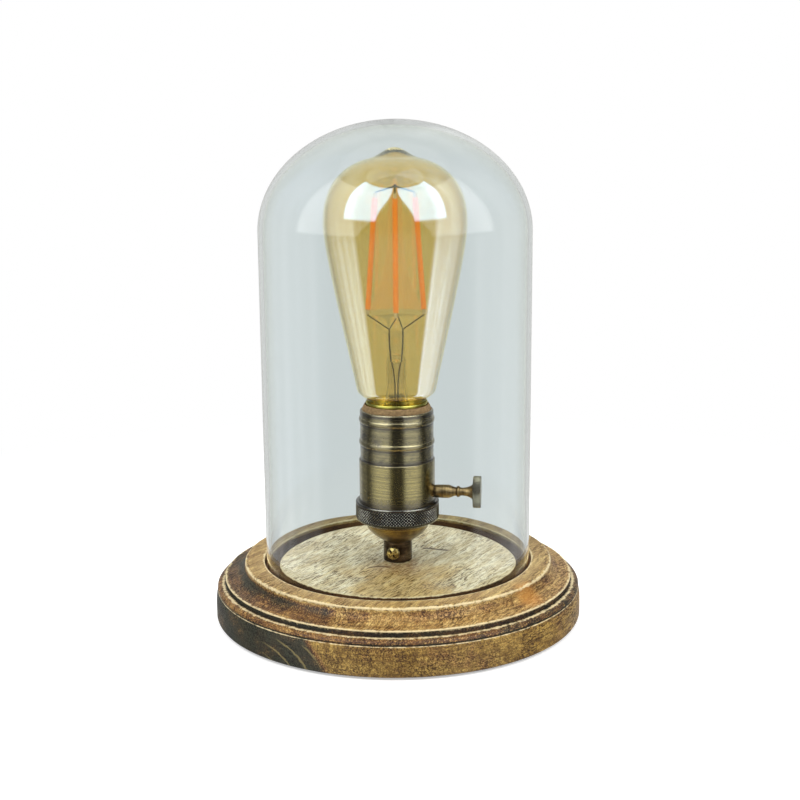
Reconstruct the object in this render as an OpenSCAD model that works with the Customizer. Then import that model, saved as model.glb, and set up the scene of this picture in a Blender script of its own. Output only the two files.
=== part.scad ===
// Table lamp with a bare filament bulb under a glass cloche, on a turned wooden base.
// Origin: centre of the felt pad's underside. +Z is up, +X points along the switch knob,
// -Y is the front and +Y the back, where the cord channel comes out.

/* [Wooden base] */
// Play between the glass and the outer wall of its groove
glass_play = 1; // [0.5:0.1:2]
// Width of the groove for the glass
groove_w = 7.6; // [6:0.1:10]
// Depth of the groove below the ring
groove_depth = 6; // [4:0.5:8]
// How far the middle disc lies below the ring
disc_drop = 1.2; // [0:0.1:3]
// Width of the flat ring outside the groove
ring_w = 9; // [7:0.5:14]
// Rounding of the ring's outer edge
ring_round = 1; // [0.5:0.1:2]
// Width of the cove outside the ring
cove_w = 9.1; // [7:0.1:14]
// Height of the cove
cove_h = 5.6; // [4:0.1:8]
// Height of the lip at the foot of the cove
lip_h = 0.7; // [0.5:0.1:1.5]
// Depth of the recess under the lip
recess_in = 0.6; // [0.3:0.1:1.5]
// Height of the recess under the lip
recess_h = 2; // [1:0.1:3]
// Width of the rounded band between recess and drum
band_w = 3.4; // [2.5:0.1:5]
// Height of the rounded band
band_h = 2.5; // [2:0.1:4]
// Height of the drum at the foot of the base
drum_h = 13.8; // [13:0.2:24]
// How far the drum bulges beyond its top edge
drum_bulge = 0.95; // [0.5:0.05:1.5]
// Rounding of the drum's foot
foot_round = 1.6; // [0.8:0.1:3]

/* [Underside] */
// Thickness of the felt pad
felt_t = 1; // [0.6:0.1:3]
// How far the felt stays inside the drum's foot
felt_in = 4; // [3:0.5:10]
// Diameter of the hollow for nut and wires
hollow_d = 52; // [40:1:70]
// Thickness of the wood above the hollow
deck_t = 12.8; // [8:0.1:16]
// Diameter of the cord channel
channel_d = 9.2; // [8.4:0.1:9.6]
// Height of the channel's axis above the wood's underside
channel_z = 6.2; // [5.6:0.1:6.8]
// Bore of the cord bushing
cord_bore_d = 6.4; // [5:0.1:7]
// Flange diameter of the cord bushing
cord_flange_d = 11; // [10.5:0.1:11.4]
// Flange thickness of the cord bushing
cord_flange_t = 1.5; // [1:0.1:2.5]
// Length of the cord bushing's sleeve
cord_sleeve_l = 12; // [8:1:20]

/* [Nipple] */
// Outer diameter of the hollow nipple
nipple_d = 10; // [9:0.1:10.4]
// Wall of the nipple
nipple_wall = 1.3; // [1:0.1:1.6]
// How far the nipple stands out below the nut
nipple_tail = 1.6; // [0.5:0.1:2]
// How far the nipple reaches into the holder's cap
nipple_head = 3; // [2.6:0.1:5]
// Nut width across flats
nut_af = 14; // [13:0.5:17]
// Nut height
nut_h = 4; // [3:0.5:4.5]
// Washer diameter
washer_d = 22; // [18:0.5:30]
// Washer thickness
washer_t = 1.2; // [0.8:0.1:1.5]

/* [Lampholder] */
// Diameter of the collar
collar_d = 13.2; // [13:0.1:15]
// Height of the collar
collar_h = 9.4; // [8:0.1:20]
// Turn of the collar's screw from the front
collar_turn = -10; // [-45:1:45]
// Head diameter of the collar's screw
collar_screw_d = 6; // [4:0.1:6.4]
// Head height of the collar's screw
collar_screw_h = 2.2; // [1.6:0.1:3]
// Shank diameter of the collar's screw
collar_shank_d = 3; // [2.5:0.1:3.5]
// Height of the cap's bowl
cap_h = 8.5; // [7:0.1:14]
// How far the bowl's upper edge stays inside the body shell
bowl_in = 2.5; // [2:0.1:3.5]
// Sheet thickness of cap and shell
shell_t = 0.8; // [0.6:0.1:1]
// Wall of the knurled ring round the body shell
ring_wall = 1.9; // [1.6:0.1:3]
// Height of the knurled ring
ring_h = 10.6; // [10:0.1:14]
// Height of the body shell above the ring
body_h = 19.6; // [19:0.1:30]
// Step from the body shell in to the sleeve
sleeve_step = 0.6; // [0.5:0.1:0.8]
// Height of the sleeve above the body shell
sleeve_h = 23; // [22:0.1:30]
// How far the beads stand out of the sleeve
bead_out = 0.6; // [0.3:0.1:1]
// Height of the lower bead above the sleeve's foot
bead_low = 8.2; // [6:0.1:10]
// Height of the upper bead above the sleeve's foot
bead_high = 18.6; // [16:0.1:20]
// Wall of the fibre liner
liner_t = 1.4; // [1:0.1:2]
// Play between the screw shell and the liner
liner_play = 0.58; // [0.4:0.01:1]
// How far the liner's rim stands above the sleeve
liner_rim = 2.5; // [1:0.1:4]

/* [Socket and switch] */
// Bottom of the core above the bowl's edge
core_lift = 5.7; // [5:0.1:8]
// Height of the core's wide foot
core_foot_h = 15.4; // [15:0.1:17]
// Height of the core's narrow top
core_top_h = 5.6; // [5:0.1:8]
// Width of the switch chamber
chamber_w = 13; // [12:0.1:14]
// Height of the knob's axis above the ring
knob_up = 4.1; // [3.9:0.1:5]
// Diameter of the switch shaft
shaft_d = 3; // [2.5:0.1:3.2]
// Running clearance round the shaft
shaft_play = 0.05; // [0.03:0.01:0.1]
// Barrel diameter of the bushing
barrel_d = 6.2; // [5.5:0.1:6.4]
// Length of the barrel outside the shell
barrel_l = 5.5; // [4:0.1:8]
// How far the knob's face stands out of the body shell
knob_out = 21.2; // [20:0.1:28]
// Diameter of the knob's disc
knob_d = 15; // [13:0.5:18]
// Thickness of the knob's disc
knob_t = 3.6; // [2.5:0.1:5]
// Width of the square cam
cam_w = 7; // [6:0.1:7.4]
// Thickness of the contact strips
strip_t = 0.4; // [0.3:0.05:0.5]
// Width of the contact strips
strip_w = 6; // [4:0.5:7]
// Shank diameter of the terminal screws
terminal_d = 3; // [2.5:0.1:3.5]
// Shank diameter of the screws that clamp the screw shell
clamp_d = 2.6; // [2:0.1:3]

/* [Screw thread] */
// Rise of the bulb's thread in one turn
thread_pitch = 3.63; // [3.4:0.01:3.8]
// Crest diameter of the bulb's thread
thread_d = 26.3; // [26:0.05:26.4]
// Depth of the rolled thread
thread_depth = 1.1; // [0.8:0.05:1.2]
// Radial clearance between bulb and screw shell
thread_play = 0.32; // [0.28:0.01:0.4]
// Sheet thickness of the screw shell
contact_t = 0.45; // [0.3:0.05:0.6]
// Threaded height of the screw shell
shell_thread_h = 20; // [16:0.5:22]
// Threaded height of the bulb's cap
cap_thread_h = 14.5; // [12:0.5:16]

/* [Bulb] */
// Largest diameter of the bulb
bulb_d = 64; // [58:1:80]
// Length of the bulb from tip contact to sealed tip
bulb_len = 142; // [136:1:180]
// Height from the sealed tip's foot down to the widest place
crown_h = 31.8; // [24:0.1:40]
// Flatness of the crown, 2 is an ellipse
crown_power = 2.4; // [2:0.1:3]
// Height of the sealed tip
nub_h = 2.3; // [1:0.1:4]
// Spread of the sealed tip's foot
nub_r = 9; // [6:0.5:12]
// Wall of the bulb
bulb_t = 0.8; // [0.6:0.1:1.2]
// How far the cap's rim stands out of the thread
rim_out = 1; // [0.8:0.05:1.1]
// Height of the cap from tip contact to rim
cap_len = 28.6; // [28:0.1:30]
// Diameter of the tip contact
tip_d = 8.8; // [7:0.1:9.5]
// Length of a filament with its clips
filament_l = 54; // [30:1:58]
// Diameter of a filament
filament_d = 2.4; // [1.5:0.1:3]
// Distance of the filaments' feet from the axis
filament_foot_r = 12.7; // [9:0.1:16]
// Distance of the filaments' tops from the axis
filament_top_r = 8.8; // [5:0.1:14]
// Height of the filaments' feet above the tip contact
filament_z = 68.3; // [64:0.1:74]
// Turn of the filaments from the X axis
filament_turn = 6.5; // [0:0.5:45]
// Length of a filament's clip
clip_l = 2.2; // [1:0.1:4]
// Diameter of the lead wires
wire_d = 0.7; // [0.5:0.1:1]
// Height of the glass press above the tip contact
press_z = 49; // [46:0.5:52]

/* [Glass cloche] */
// Outer diameter of the glass
glass_d = 121.6; // [100:0.1:146]
// Wall of the glass
glass_t = 2.2; // [1.5:0.1:4]
// Free height between bulb and glass
head_room = 9.8; // [8:0.1:40]
// Height of the rounded crown
glass_crown_h = 48.8; // [40:0.1:60]
// Gap under the glass in its groove
glass_seat = 0.3; // [0.1:0.1:0.5]

/* [Hidden] */
$fn = 96;

// Clearances inside the lamp
fit = 0.05; // a piece pushed on or screwed on another
gap = 0.1; // pieces that lie in one another
press = 0.02; // pieces pressed on the switch shaft
rest_gap = 0.3; // pieces of different bodies that nearly touch
through = 1; // how far a cutter runs past what it cuts
edge = 0.4; // small edges that are broken

// Radii of the base, from the glass outwards
groove_r = glass_d / 2 + glass_play;
disc_r = groove_r - groove_w;
flat_r = groove_r + ring_w;
lip_r = flat_r + cove_w;
recess_r = lip_r - recess_in;
band_r = lip_r + 1;
drum_top_r = band_r + band_w - drum_bulge;
drum_r = drum_top_r + drum_bulge;
nipple_bore_r = nipple_d / 2 + 2 * gap;

// Heights of the base
drum_z = felt_t + drum_h;
band_z = drum_z + band_h;
lip_z = band_z + recess_h + lip_h;
ring_z = lip_z + cove_h + ring_round;
disc_z = ring_z - disc_drop;
floor_z = ring_z - groove_depth;
hollow_z = disc_z - deck_t;

// Cord channel and bushing
cord_z = felt_t + channel_z;
cord_face_y = drum_top_r - 0.5;

// Nipple, washer and nut
nipple_bottom = hollow_z - washer_t - nut_h - nipple_tail;
nipple_top = disc_z + collar_h + nipple_head;

// Screw thread: the bulb's thread stands out of its root and the shell's thread stands inwards
bulb_root_r = thread_d / 2 - thread_depth;
shell_root_r = thread_d / 2 + thread_play;
shell_outer_r = shell_root_r + contact_t;

// Radii of the holder, from the screw shell outwards
liner_in = shell_outer_r + liner_play;
liner_r = liner_in + liner_t;
sleeve_in = liner_r + gap;
sleeve_r = sleeve_in + shell_t;
body_r = sleeve_r + sleeve_step;
body_in = body_r - shell_t;
bowl_r = body_r - bowl_in;
ring_r = body_r + ring_wall;
core_r = body_in - rest_gap;
core_top_r = liner_in - 2 * gap;

// Heights of the holder, from the collar up
collar_z = disc_z + fit;
cap_z = disc_z + collar_h;
bowl_z = cap_z + cap_h;
skirt_h = 4.3;
skirt_z = bowl_z + skirt_h;
knurl_z = bowl_z - rest_gap;
knurl_top = knurl_z + ring_h;
body_z = skirt_z + gap;
body_top = knurl_top + body_h;
sleeve_top = body_top + sleeve_h;
liner_top = sleeve_top + liner_rim;
core_z = bowl_z + core_lift;
core_step = core_z + core_foot_h;
core_top = core_step + core_top_h;
knob_z = knurl_top + knob_up;

// Switch chamber in the core and the shaft's bearing behind it
chamber_floor = knob_z - 5.8;
chamber_roof = knob_z + 7.3;
chamber_back = -4;
bearing_l = 3;
bushing_out = body_r + fit;
barrel_in_r = barrel_d / 2 - edge; // the thread that goes through the shell
stem_x = bushing_out + barrel_l + rest_gap;
knob_x = body_r + knob_out;
shaft_grip = 6; // how far the shaft reaches into the knob's stem
shaft_end = stem_x + shaft_grip;

// Contacts: floor of the screw shell, its clamping screws, strap, leaf and rivet
shell_floor_z = core_top + strip_t;
shell_floor_t = 0.6;
shell_floor_in = shell_outer_r - 3.7;
clamp_r = shell_floor_in - 1.6;
strip_z = core_z - gap - strip_t;
strap_x = 2.1 - core_top_r;
strap_screw_x = strap_x + 4.2;
leaf_x = 6;
leaf_y = 0.8 - chamber_w / 2;
leaf_screw_y = leaf_y - 3.9;
strip_end = 3; // how far a strip reaches past its screw
terminals = [[strap_screw_x, 0], [leaf_x, leaf_screw_y]];
terminal_l = 3.5; // how deep a terminal screw goes into the core
clamp_l = 4.5; // how deep a clamping screw goes into the core
screw_head = 1.1; // how far a screw's head stands out of its shank
rivet_r = 1.2;
rivet_head_r = 2.2;
rivet_head_h = 1.2;
tongue_rise = 0.7;

// Heights of the bulb, from its tip contact up
tip_z = shell_floor_z + tongue_rise + rest_gap;
shell_thread_z = shell_floor_z + 1.6;
cap_thread_z = tip_z + 5.6;
cap_thread_top = cap_thread_z + cap_thread_h;
cap_rim_z = tip_z + cap_len;
crown_z = tip_z + bulb_len - nub_h - crown_h;
tube_z = tip_z + 15;
foot_z = tip_z + filament_z;
stem_press_z = tip_z + press_z;
board_z = tip_z + 6.2;
board_h = 8.4;

// Radii of the bulb
bulb_r = bulb_d / 2;
cap_rim_r = thread_d / 2 + rim_out;
neck_r = cap_rim_r - 0.7;
tube_r = bulb_root_r - 0.85;

// Glass press, leads and filaments
press_h = 11;
press_t = 3.2;
press_w = 9;
lead_x = 2.6;
wire_end = wire_d / 2 + fit;
hub_up = 3; // how far the wires' meeting point lies above the filaments
filament_lean = atan2(filament_foot_r - filament_top_r, filament_l);
filament_rise = filament_l * cos(filament_lean);
hub_z = foot_z + filament_rise + hub_up;

// Rolled thread as a mesh
thread_sides = 24;
rows_per_turn = 6;

// Glass cloche
glass_r = glass_d / 2;
glass_z = floor_z + glass_seat;
glass_top = tip_z + bulb_len + head_room + glass_t;
glass_crown_z = glass_top - glass_crown_h;

// Points of an arc from angle a to angle b
function arc(x, y, r, a, b, n) = [for (i = [0:n]) let (t = a + (b - a) * i / n)
    [x + r * cos(t), y + r * sin(t)]];

// Points of a smooth curve that leaves p towards q and arrives at s from r
function bend(p, q, r, s, n) = [for (i = [0:n]) let (t = i / n, u = 1 - t)
    u * u * u * p + 3 * u * u * t * q + 3 * u * t * t * r + t * t * t * s];

// The same points with another radius, and in the other direction
function inset(points, d) = [for (p = points) [p[0] - d, p[1]]];
function reversed(points) = [for (i = [len(points) - 1:-1:0]) points[i]];

// A body of revolution from an outline of [radius, height] points
module turned(points) {
    rotate_extrude() polygon(points);
}

// A cylinder on the lamp's axis between two heights
module cylinder_from_to(r, low, high) {
    translate([0, 0, low]) cylinder(r = r, h = high - low);
}

// A round rod between two points
module rod(p, q, r) {
    d = q - p;
    flat = norm([d[0], d[1]]);
    translate(p) rotate([0, atan2(flat, d[2]), atan2(d[1], d[0])]) cylinder(r = r, h = norm(d));
}

// Its children lie along the switch's axis, with +Z of the child pointing out of the holder
module on_switch_axis(x) {
    translate([x, 0, knob_z]) rotate([0, 90, 0]) children();
}

// Its children stand at the front of the collar, with +Z of the child pointing outwards
module on_collar(r) {
    rotate([0, 0, collar_turn]) translate([0, -r, collar_z + collar_h / 2]) rotate([90, 0, 0]) children();
}

// ---- base ----

// Outline of the turned base, from the hollow's edge outwards and over the top
function base_outline() = concat(
    [[hollow_d / 2, felt_t]],
    arc(drum_r - foot_round, felt_t + foot_round, foot_round, -90, -10, 5),
    bend([drum_r, felt_t + drum_h * 0.45], [drum_r, drum_z * 0.8], [drum_top_r + 0.3, drum_z * 0.9],
        [drum_top_r, drum_z], 5),
    bend([drum_top_r - edge, drum_z + 0.1], [drum_r - 0.1, drum_z + 0.3], [drum_r - 0.9, band_z - 0.1],
        [band_r, band_z], 6),
    [[recess_r, band_z + 0.2], [recess_r, lip_z - lip_h]],
    arc(lip_r - lip_h / 2, lip_z - lip_h / 2, lip_h / 2, -60, 90, 4),
    bend([lip_r - 1, lip_z], [lip_r - 0.55 * cove_w, lip_z + 0.04 * cove_h],
        [flat_r + 0.6, lip_z + 0.2 * cove_h], [flat_r - 0.2, lip_z + cove_h], 8),
    arc(flat_r - ring_round, ring_z - ring_round, ring_round, 10, 90, 4),
    [[groove_r + edge, ring_z], [groove_r, ring_z - edge], [groove_r, floor_z], [disc_r, floor_z],
        [disc_r, disc_z - edge], [disc_r - edge, disc_z], [nipple_bore_r, disc_z],
        [nipple_bore_r, hollow_z], [hollow_d / 2, hollow_z]]);

module wooden_base() {
    color("peru") difference() {
        turned(base_outline());
        translate([0, 0, cord_z]) rotate([-90, 0, 0]) cylinder(d = channel_d, h = drum_r + through);
        translate([0, cord_face_y - cord_flange_t, cord_z]) rotate([-90, 0, 0])
            cylinder(d = cord_flange_d + 2 * gap, h = drum_r);
    }
}

module felt_pad() {
    color("darkolivegreen") cylinder(r = drum_r - felt_in, h = felt_t);
}

module cord_bushing() {
    color("black") translate([0, cord_face_y, cord_z]) rotate([90, 0, 0]) difference() {
        union() {
            cylinder(d = cord_flange_d, h = cord_flange_t);
            cylinder(d = channel_d - 2 * fit, h = cord_flange_t + cord_sleeve_l);
        }
        translate([0, 0, -through])
            cylinder(d = cord_bore_d, h = cord_flange_t + cord_sleeve_l + 2 * through);
    }
}

// ---- nipple ----

module threaded_nipple() {
    color("goldenrod") translate([0, 0, nipple_bottom]) difference() {
        cylinder(d = nipple_d, h = nipple_top - nipple_bottom);
        translate([0, 0, -through])
            cylinder(d = nipple_d - 2 * nipple_wall, h = nipple_top - nipple_bottom + 2 * through);
    }
}

module nipple_washer() {
    color("silver") translate([0, 0, hollow_z - washer_t]) difference() {
        cylinder(d = washer_d, h = washer_t);
        translate([0, 0, -through]) cylinder(r = nipple_bore_r, h = washer_t + 2 * through);
    }
}

module nipple_nut() {
    color("silver") translate([0, 0, hollow_z - washer_t - nut_h]) difference() {
        cylinder(d = nut_af / cos(30), h = nut_h, $fn = 6);
        translate([0, 0, -through]) cylinder(d = nipple_d + 2 * fit, h = nut_h + 2 * through);
    }
}

// ---- lampholder ----

module holder_collar() {
    color("saddlebrown") difference() {
        translate([0, 0, collar_z]) cylinder(d = collar_d, h = collar_h - 2 * fit);
        translate([0, 0, collar_z - through]) cylinder(d = nipple_d + 2 * fit, h = collar_h + 2 * through);
        on_collar(0) cylinder(d = collar_shank_d + 2 * fit, h = collar_d);
    }
}

module collar_screw() {
    head_z = collar_d / 2 + fit;
    slot_w = 0.9;
    slot_l = 0.6 * collar_screw_d;
    color("gold") on_collar(0) difference() {
        union() {
            translate([0, 0, nipple_d / 2 + fit]) cylinder(d = collar_shank_d, h = head_z - nipple_d / 2);
            translate([0, 0, head_z]) turned(concat([[0, 0]],
                bend([collar_screw_d / 2, 0], [collar_screw_d / 2, 0.5 * collar_screw_h],
                    [0.3 * collar_screw_d, collar_screw_h], [0, collar_screw_h], 8)));
        }
        for (turn = [0, 90]) rotate([0, 0, turn])
            translate([-slot_l / 2, -slot_w / 2, head_z + 0.5 * collar_screw_h])
            cube([slot_l, slot_w, collar_screw_h]);
    }
}

// Outer curve of the bowl, from the collar to the knurled ring
function bowl_curve() = bend([collar_d / 2, cap_z], [collar_d / 2 + 2.8, cap_z + 0.18 * cap_h],
    [bowl_r - 0.7, cap_z + 0.52 * cap_h], [bowl_r, bowl_z], 10);

module holder_cap() {
    skirt_r = body_r - fit;
    color("darkgoldenrod") turned(concat(
        [[nipple_d / 2 + fit, cap_z]],
        bowl_curve(),
        [[bowl_r + 0.2, bowl_z + 0.3], [skirt_r, bowl_z + 1.85], [skirt_r, skirt_z], [skirt_r - shell_t, skirt_z],
            [skirt_r - shell_t, bowl_z + 2.4], [bowl_r - shell_t, bowl_z + 0.8]],
        reversed(inset(bend([collar_d / 2 + 0.6, cap_z + 2.2], [collar_d / 2 + 3, cap_z + 0.36 * cap_h],
            [bowl_r - 0.7, cap_z + 0.62 * cap_h], [bowl_r, bowl_z + 0.3], 10), shell_t)),
        [[nipple_d / 2 + fit, cap_z + 2.2]]));
}

// The ring's inner flange lies under the cap's skirt and its upper part grips the body shell
module knurled_ring() {
    inner = body_r + fit;
    bowl_clear = bowl_r + 0.35;
    bead_r = 0.85;
    color("dimgray") turned(concat(
        [[bowl_clear, knurl_z]],
        bend([ring_r - 2, knurl_z + 1.1], [ring_r - 0.9, knurl_z + 1.6], [ring_r, knurl_z + 2.2],
            [ring_r, knurl_z + 3.2], 4),
        [[ring_r, knurl_top - 2], [ring_r - 0.3, knurl_top - 2 * bead_r]],
        arc(ring_r - bead_r - gap, knurl_top - bead_r, bead_r, -50, 90, 6),
        [[inner, knurl_top - 0.3], [inner, bowl_z + 1.7], [bowl_clear, bowl_z + 0.2]]));
}

module holder_body() {
    color("darkkhaki") difference() {
        turned([[body_in, body_z], [body_r, body_z], [body_r, body_top - edge], [body_r - edge, body_top],
            [body_in, body_top]]);
        on_switch_axis(0) cylinder(r = barrel_in_r + gap, h = 2 * body_r);
    }
}

// Outline of a rolled bead on the sleeve
function bead(z) = let (r = 0.9) arc(sleeve_r + bead_out - r, z, r, -70, 70, 6);

module holder_sleeve() {
    skirt_r = body_in - gap;
    color("darkkhaki") turned(concat(
        [[sleeve_in, core_step + gap], [skirt_r, core_step + gap], [skirt_r, body_top + gap],
            [sleeve_r, body_top + gap]],
        bead(body_top + bead_low),
        bead(body_top + bead_high),
        arc(sleeve_r - 1, sleeve_top - 1, 1, 0, 75, 4),
        [[sleeve_in, sleeve_top]]));
}

module fibre_liner() {
    color("sienna") turned([[liner_in, core_step + gap], [liner_r, core_step + gap], [liner_r, sleeve_top],
        [liner_in + 0.1, liner_top], [liner_in, liner_top]]);
}

// ---- socket and switch ----

module socket_core() {
    slot = strip_t + 2 * rest_gap;
    color("ivory") difference() {
        union() {
            translate([0, 0, core_z]) cylinder(r = core_r, h = core_step - core_z);
            cylinder_from_to(core_top_r, core_step - through, core_top);
        }
        translate([chamber_back, -chamber_w / 2, chamber_floor])
            cube([2 * body_r, chamber_w, chamber_roof - chamber_floor]);
        on_switch_axis(0)
            cylinder_from_to(shaft_d / 2 + shaft_play, chamber_back - bearing_l, chamber_back + through);
        // slots for the strap and the leaf
        translate([strap_x - slot / 2, -strip_w / 2 - gap, core_z - through])
            cube([slot, strip_w + 2 * gap, core_top - core_z + 2 * through]);
        translate([leaf_x - strip_w / 2 - gap, leaf_y - slot / 2, core_z - through])
            cube([strip_w + 2 * gap, slot, chamber_floor - core_z + 2 * through]);
        // holes for the rivet and the screws
        translate([leaf_x, 0, chamber_roof - through]) cylinder(r = rivet_r + fit, h = core_top);
        for (side = [-1, 1]) translate([0, side * clamp_r, 0])
            cylinder_from_to(clamp_d / 2 + fit, core_top - clamp_l - fit, core_top + through);
        for (at = terminals) translate([at[0], at[1], 0])
            cylinder_from_to(terminal_d / 2 + fit, core_z - through, core_z + terminal_l + fit);
    }
}

// How strongly the thread shows at height z: 0 at its ends, 1 half a turn further in
function thread_share(z, low, high) = max(0, min(1, 2 * min(z - low, high - z) / thread_pitch));

// Rows [radius, height, rise] of a thread that stands out of a plain radius. A negative rise stands inwards
function thread_rows(r, rise, low, h) = [for (i = [0:round(h / thread_pitch * rows_per_turn)])
    let (z = low + i * thread_pitch / rows_per_turn) [r, z, rise * thread_share(z, low, low + h)]];

// One ring of points. The crest winds up to the right, the same way for both signs of the rise
function thread_ring(row) = [for (i = [0:thread_sides - 1])
    let (t = 360 * i / thread_sides, wave = cos(360 * row[1] / thread_pitch - t),
        r = row[0] + (abs(row[2]) * wave + row[2]) / 2)
    [r * cos(t), r * sin(t), row[1]]];

// A closed shell of revolution through rows that go up outside and down inside
module threaded(rows) {
    n = thread_sides;
    m = len(rows);
    points = [for (row = rows) each thread_ring(row)];
    faces = [for (j = [0:m - 1], i = [0:n - 1]) let (k = (i + 1) % n, up = (j + 1) % m)
        each [[j * n + i, up * n + i, up * n + k], [j * n + i, up * n + k, j * n + k]]];
    polyhedron(points, faces);
}

module screw_shell() {
    top_z = shell_thread_z + shell_thread_h + 1;
    color("gold") threaded(concat(
        [[shell_outer_r, shell_floor_z, 0], [shell_outer_r, top_z, 0], [shell_root_r + fit, top_z, 0]],
        reversed(thread_rows(shell_root_r, -thread_depth, shell_thread_z, shell_thread_h)),
        [[shell_root_r, shell_floor_z + shell_floor_t, 0], [shell_floor_in, shell_floor_z + shell_floor_t, 0],
            [shell_floor_in, shell_floor_z, 0]]));
}

module core_screws() {
    head_z = shell_floor_z + shell_floor_t + fit;
    color("silver") for (side = [-1, 1]) translate([0, side * clamp_r, 0]) {
        cylinder_from_to(clamp_d / 2, core_top - clamp_l, head_z);
        cylinder_from_to(clamp_d / 2 + screw_head, head_z, head_z + 1.15);
    }
}

// The tongue lies on the core at the rivet and rises under the bulb's tip
module centre_contact() {
    low = core_top;
    high = core_top + tongue_rise;
    width = strip_w - 1;
    heel = leaf_x + rivet_head_r;
    color("gold") {
        translate([0, width / 2, 0]) rotate([90, 0, 0]) linear_extrude(width)
            polygon([[heel, low], [heel, low + strip_t], [4, low + strip_t], [1.5, high + strip_t],
                [-2.5, high + strip_t], [-2.5, high], [1.3, high], [3.8, low]]);
        translate([leaf_x, 0, 0]) {
            cylinder_from_to(rivet_r, chamber_roof - gap, low + strip_t / 2);
            cylinder_from_to(rivet_head_r, chamber_roof - rivet_head_h, chamber_roof - gap);
        }
    }
}

// Strap from the first terminal, up through the core and in under the screw shell
module shell_strap() {
    outer_x = strap_x - strip_t / 2;
    color("gold") translate([0, strip_w / 2, 0]) rotate([90, 0, 0]) difference() {
        linear_extrude(strip_w) {
            translate([outer_x, strip_z]) square([strip_t, core_top + strip_t - fit - strip_z]);
            translate([outer_x, core_top]) square([2.2, strip_t - fit]);
            translate([outer_x, strip_z]) square([strap_screw_x - outer_x + strip_end, strip_t]);
        }
        translate([strap_screw_x, strip_z - through, strip_w / 2]) rotate([-90, 0, 0])
            cylinder(d = terminal_d + 2 * fit, h = 2 * through);
    }
}

// Leaf from the second terminal, up beside the cam and in over it to the rivet
module switch_spring() {
    high = chamber_roof - rivet_head_h - rest_gap;
    outer_y = leaf_y - strip_t / 2;
    color("gold") translate([leaf_x - strip_w / 2, 0, 0]) difference() {
        rotate([90, 0, 90]) linear_extrude(strip_w) {
            translate([outer_y, strip_z]) square([strip_t, high - strip_z]);
            translate([outer_y, high - strip_t]) square([2 - outer_y, strip_t]);
            translate([leaf_screw_y - strip_end, strip_z])
                square([outer_y + strip_t - leaf_screw_y + strip_end, strip_t]);
        }
        translate([strip_w / 2, leaf_screw_y, strip_z - through])
            cylinder(d = terminal_d + 2 * fit, h = 2 * through);
    }
}

module terminal_screws() {
    head_z = strip_z - fit;
    color("silver") for (at = terminals) translate([at[0], at[1], 0]) {
        cylinder_from_to(terminal_d / 2, head_z, core_z + terminal_l);
        cylinder_from_to(terminal_d / 2 + screw_head, head_z - 1.5, head_z);
    }
}

// Fixed barrel: a thread through the shell, a flange inside and the barrel outside
module switch_bushing() {
    r = barrel_d / 2;
    flange_r = r + 1;
    flange_t = 1;
    flange_x = sqrt(pow(body_in, 2) - pow(flange_r, 2)) - fit - flange_t;
    color("darkgoldenrod") on_switch_axis(0) difference() {
        union() {
            cylinder_from_to(flange_r, flange_x, flange_x + flange_t);
            cylinder_from_to(barrel_in_r, flange_x, bushing_out + through);
            translate([0, 0, bushing_out]) turned([[0, 0], [r - 0.25, 0], [r - gap, 1],
                [r, barrel_l - 2 * gap], [r - 2 * gap, barrel_l], [0, barrel_l]]);
        }
        cylinder(r = shaft_d / 2 + shaft_play, h = bushing_out + barrel_l + through);
    }
}

module switch_shaft() {
    color("silver") on_switch_axis(chamber_back - bearing_l + rest_gap)
        cylinder(d = shaft_d, h = shaft_end - chamber_back + bearing_l - rest_gap);
}

module switch_rotor() {
    corner = 1.2;
    width = 5;
    color("firebrick") on_switch_axis(leaf_x - width / 2) difference() {
        union() {
            translate([-cam_w / 2 + corner, -cam_w / 2, 0]) cube([cam_w - 2 * corner, cam_w, width]);
            translate([-cam_w / 2, -cam_w / 2 + corner, 0]) cube([cam_w, cam_w - 2 * corner, width]);
            for (x = [-1, 1], y = [-1, 1]) translate([x * (cam_w / 2 - corner), y * (cam_w / 2 - corner), 0])
                cylinder(r = corner, h = width, $fn = 32);
        }
        translate([0, 0, -through]) cylinder(r = shaft_d / 2 + press, h = width + 2 * through);
    }
}

// Turned stem: taper, bead, neck and flare up to the disc
module knob_stem() {
    r = barrel_d / 2;
    long = knob_x - knob_t - stem_x;
    color("sienna") on_switch_axis(stem_x) difference() {
        turned(concat([[0, 0], [r - 0.1, 0]],
            bend([r, 0.2], [r, 1.2], [r * 0.72, 0.2 * long], [r * 0.62, 0.335 * long], 6),
            arc(r * 0.62 - 0.2, 0.42 * long, 0.85, -60, 60, 6),
            bend([r * 0.6, 0.53 * long], [r * 0.56, 0.68 * long], [r * 0.7, 0.86 * long], [r * 1.2, long], 8),
            [[0, long]]));
        translate([0, 0, -through]) cylinder(r = shaft_d / 2 + press, h = shaft_grip + gap + through);
    }
}

// Disc with straight knurls, cut as grooves into the rim
module knob_disc() {
    knurls = 48;
    groove = 0.44;
    r = knob_d / 2;
    color("olive") on_switch_axis(knob_x - knob_t) difference() {
        turned([[0, 0], [r - edge, 0], [r, edge], [r, knob_t - edge], [r - edge, knob_t], [0, knob_t]]);
        for (i = [0:knurls - 1]) rotate([0, 0, 360 * i / knurls]) translate([r, 0, -through])
            rotate([0, 0, 45]) translate([-groove / 2, -groove / 2, 0])
            cube([groove, groove, knob_t + 2 * through]);
    }
}

// ---- cloche ----

// Crown of the glass, from its side up to the top
function glass_curve(r, h, n) = [for (i = [0:n]) let (t = 90 * i / n)
    [r * cos(t), glass_crown_z + h * sin(t)]];

module glass_cloche() {
    lip = glass_t / 2;
    color("lightblue", 0.4) turned(concat(
        arc(glass_r - lip, glass_z + lip, lip, -180, 0, 8),
        glass_curve(glass_r, glass_crown_h, 24),
        reversed(glass_curve(glass_r - glass_t, glass_crown_h - glass_t, 24))));
}

// ---- bulb ----

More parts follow.
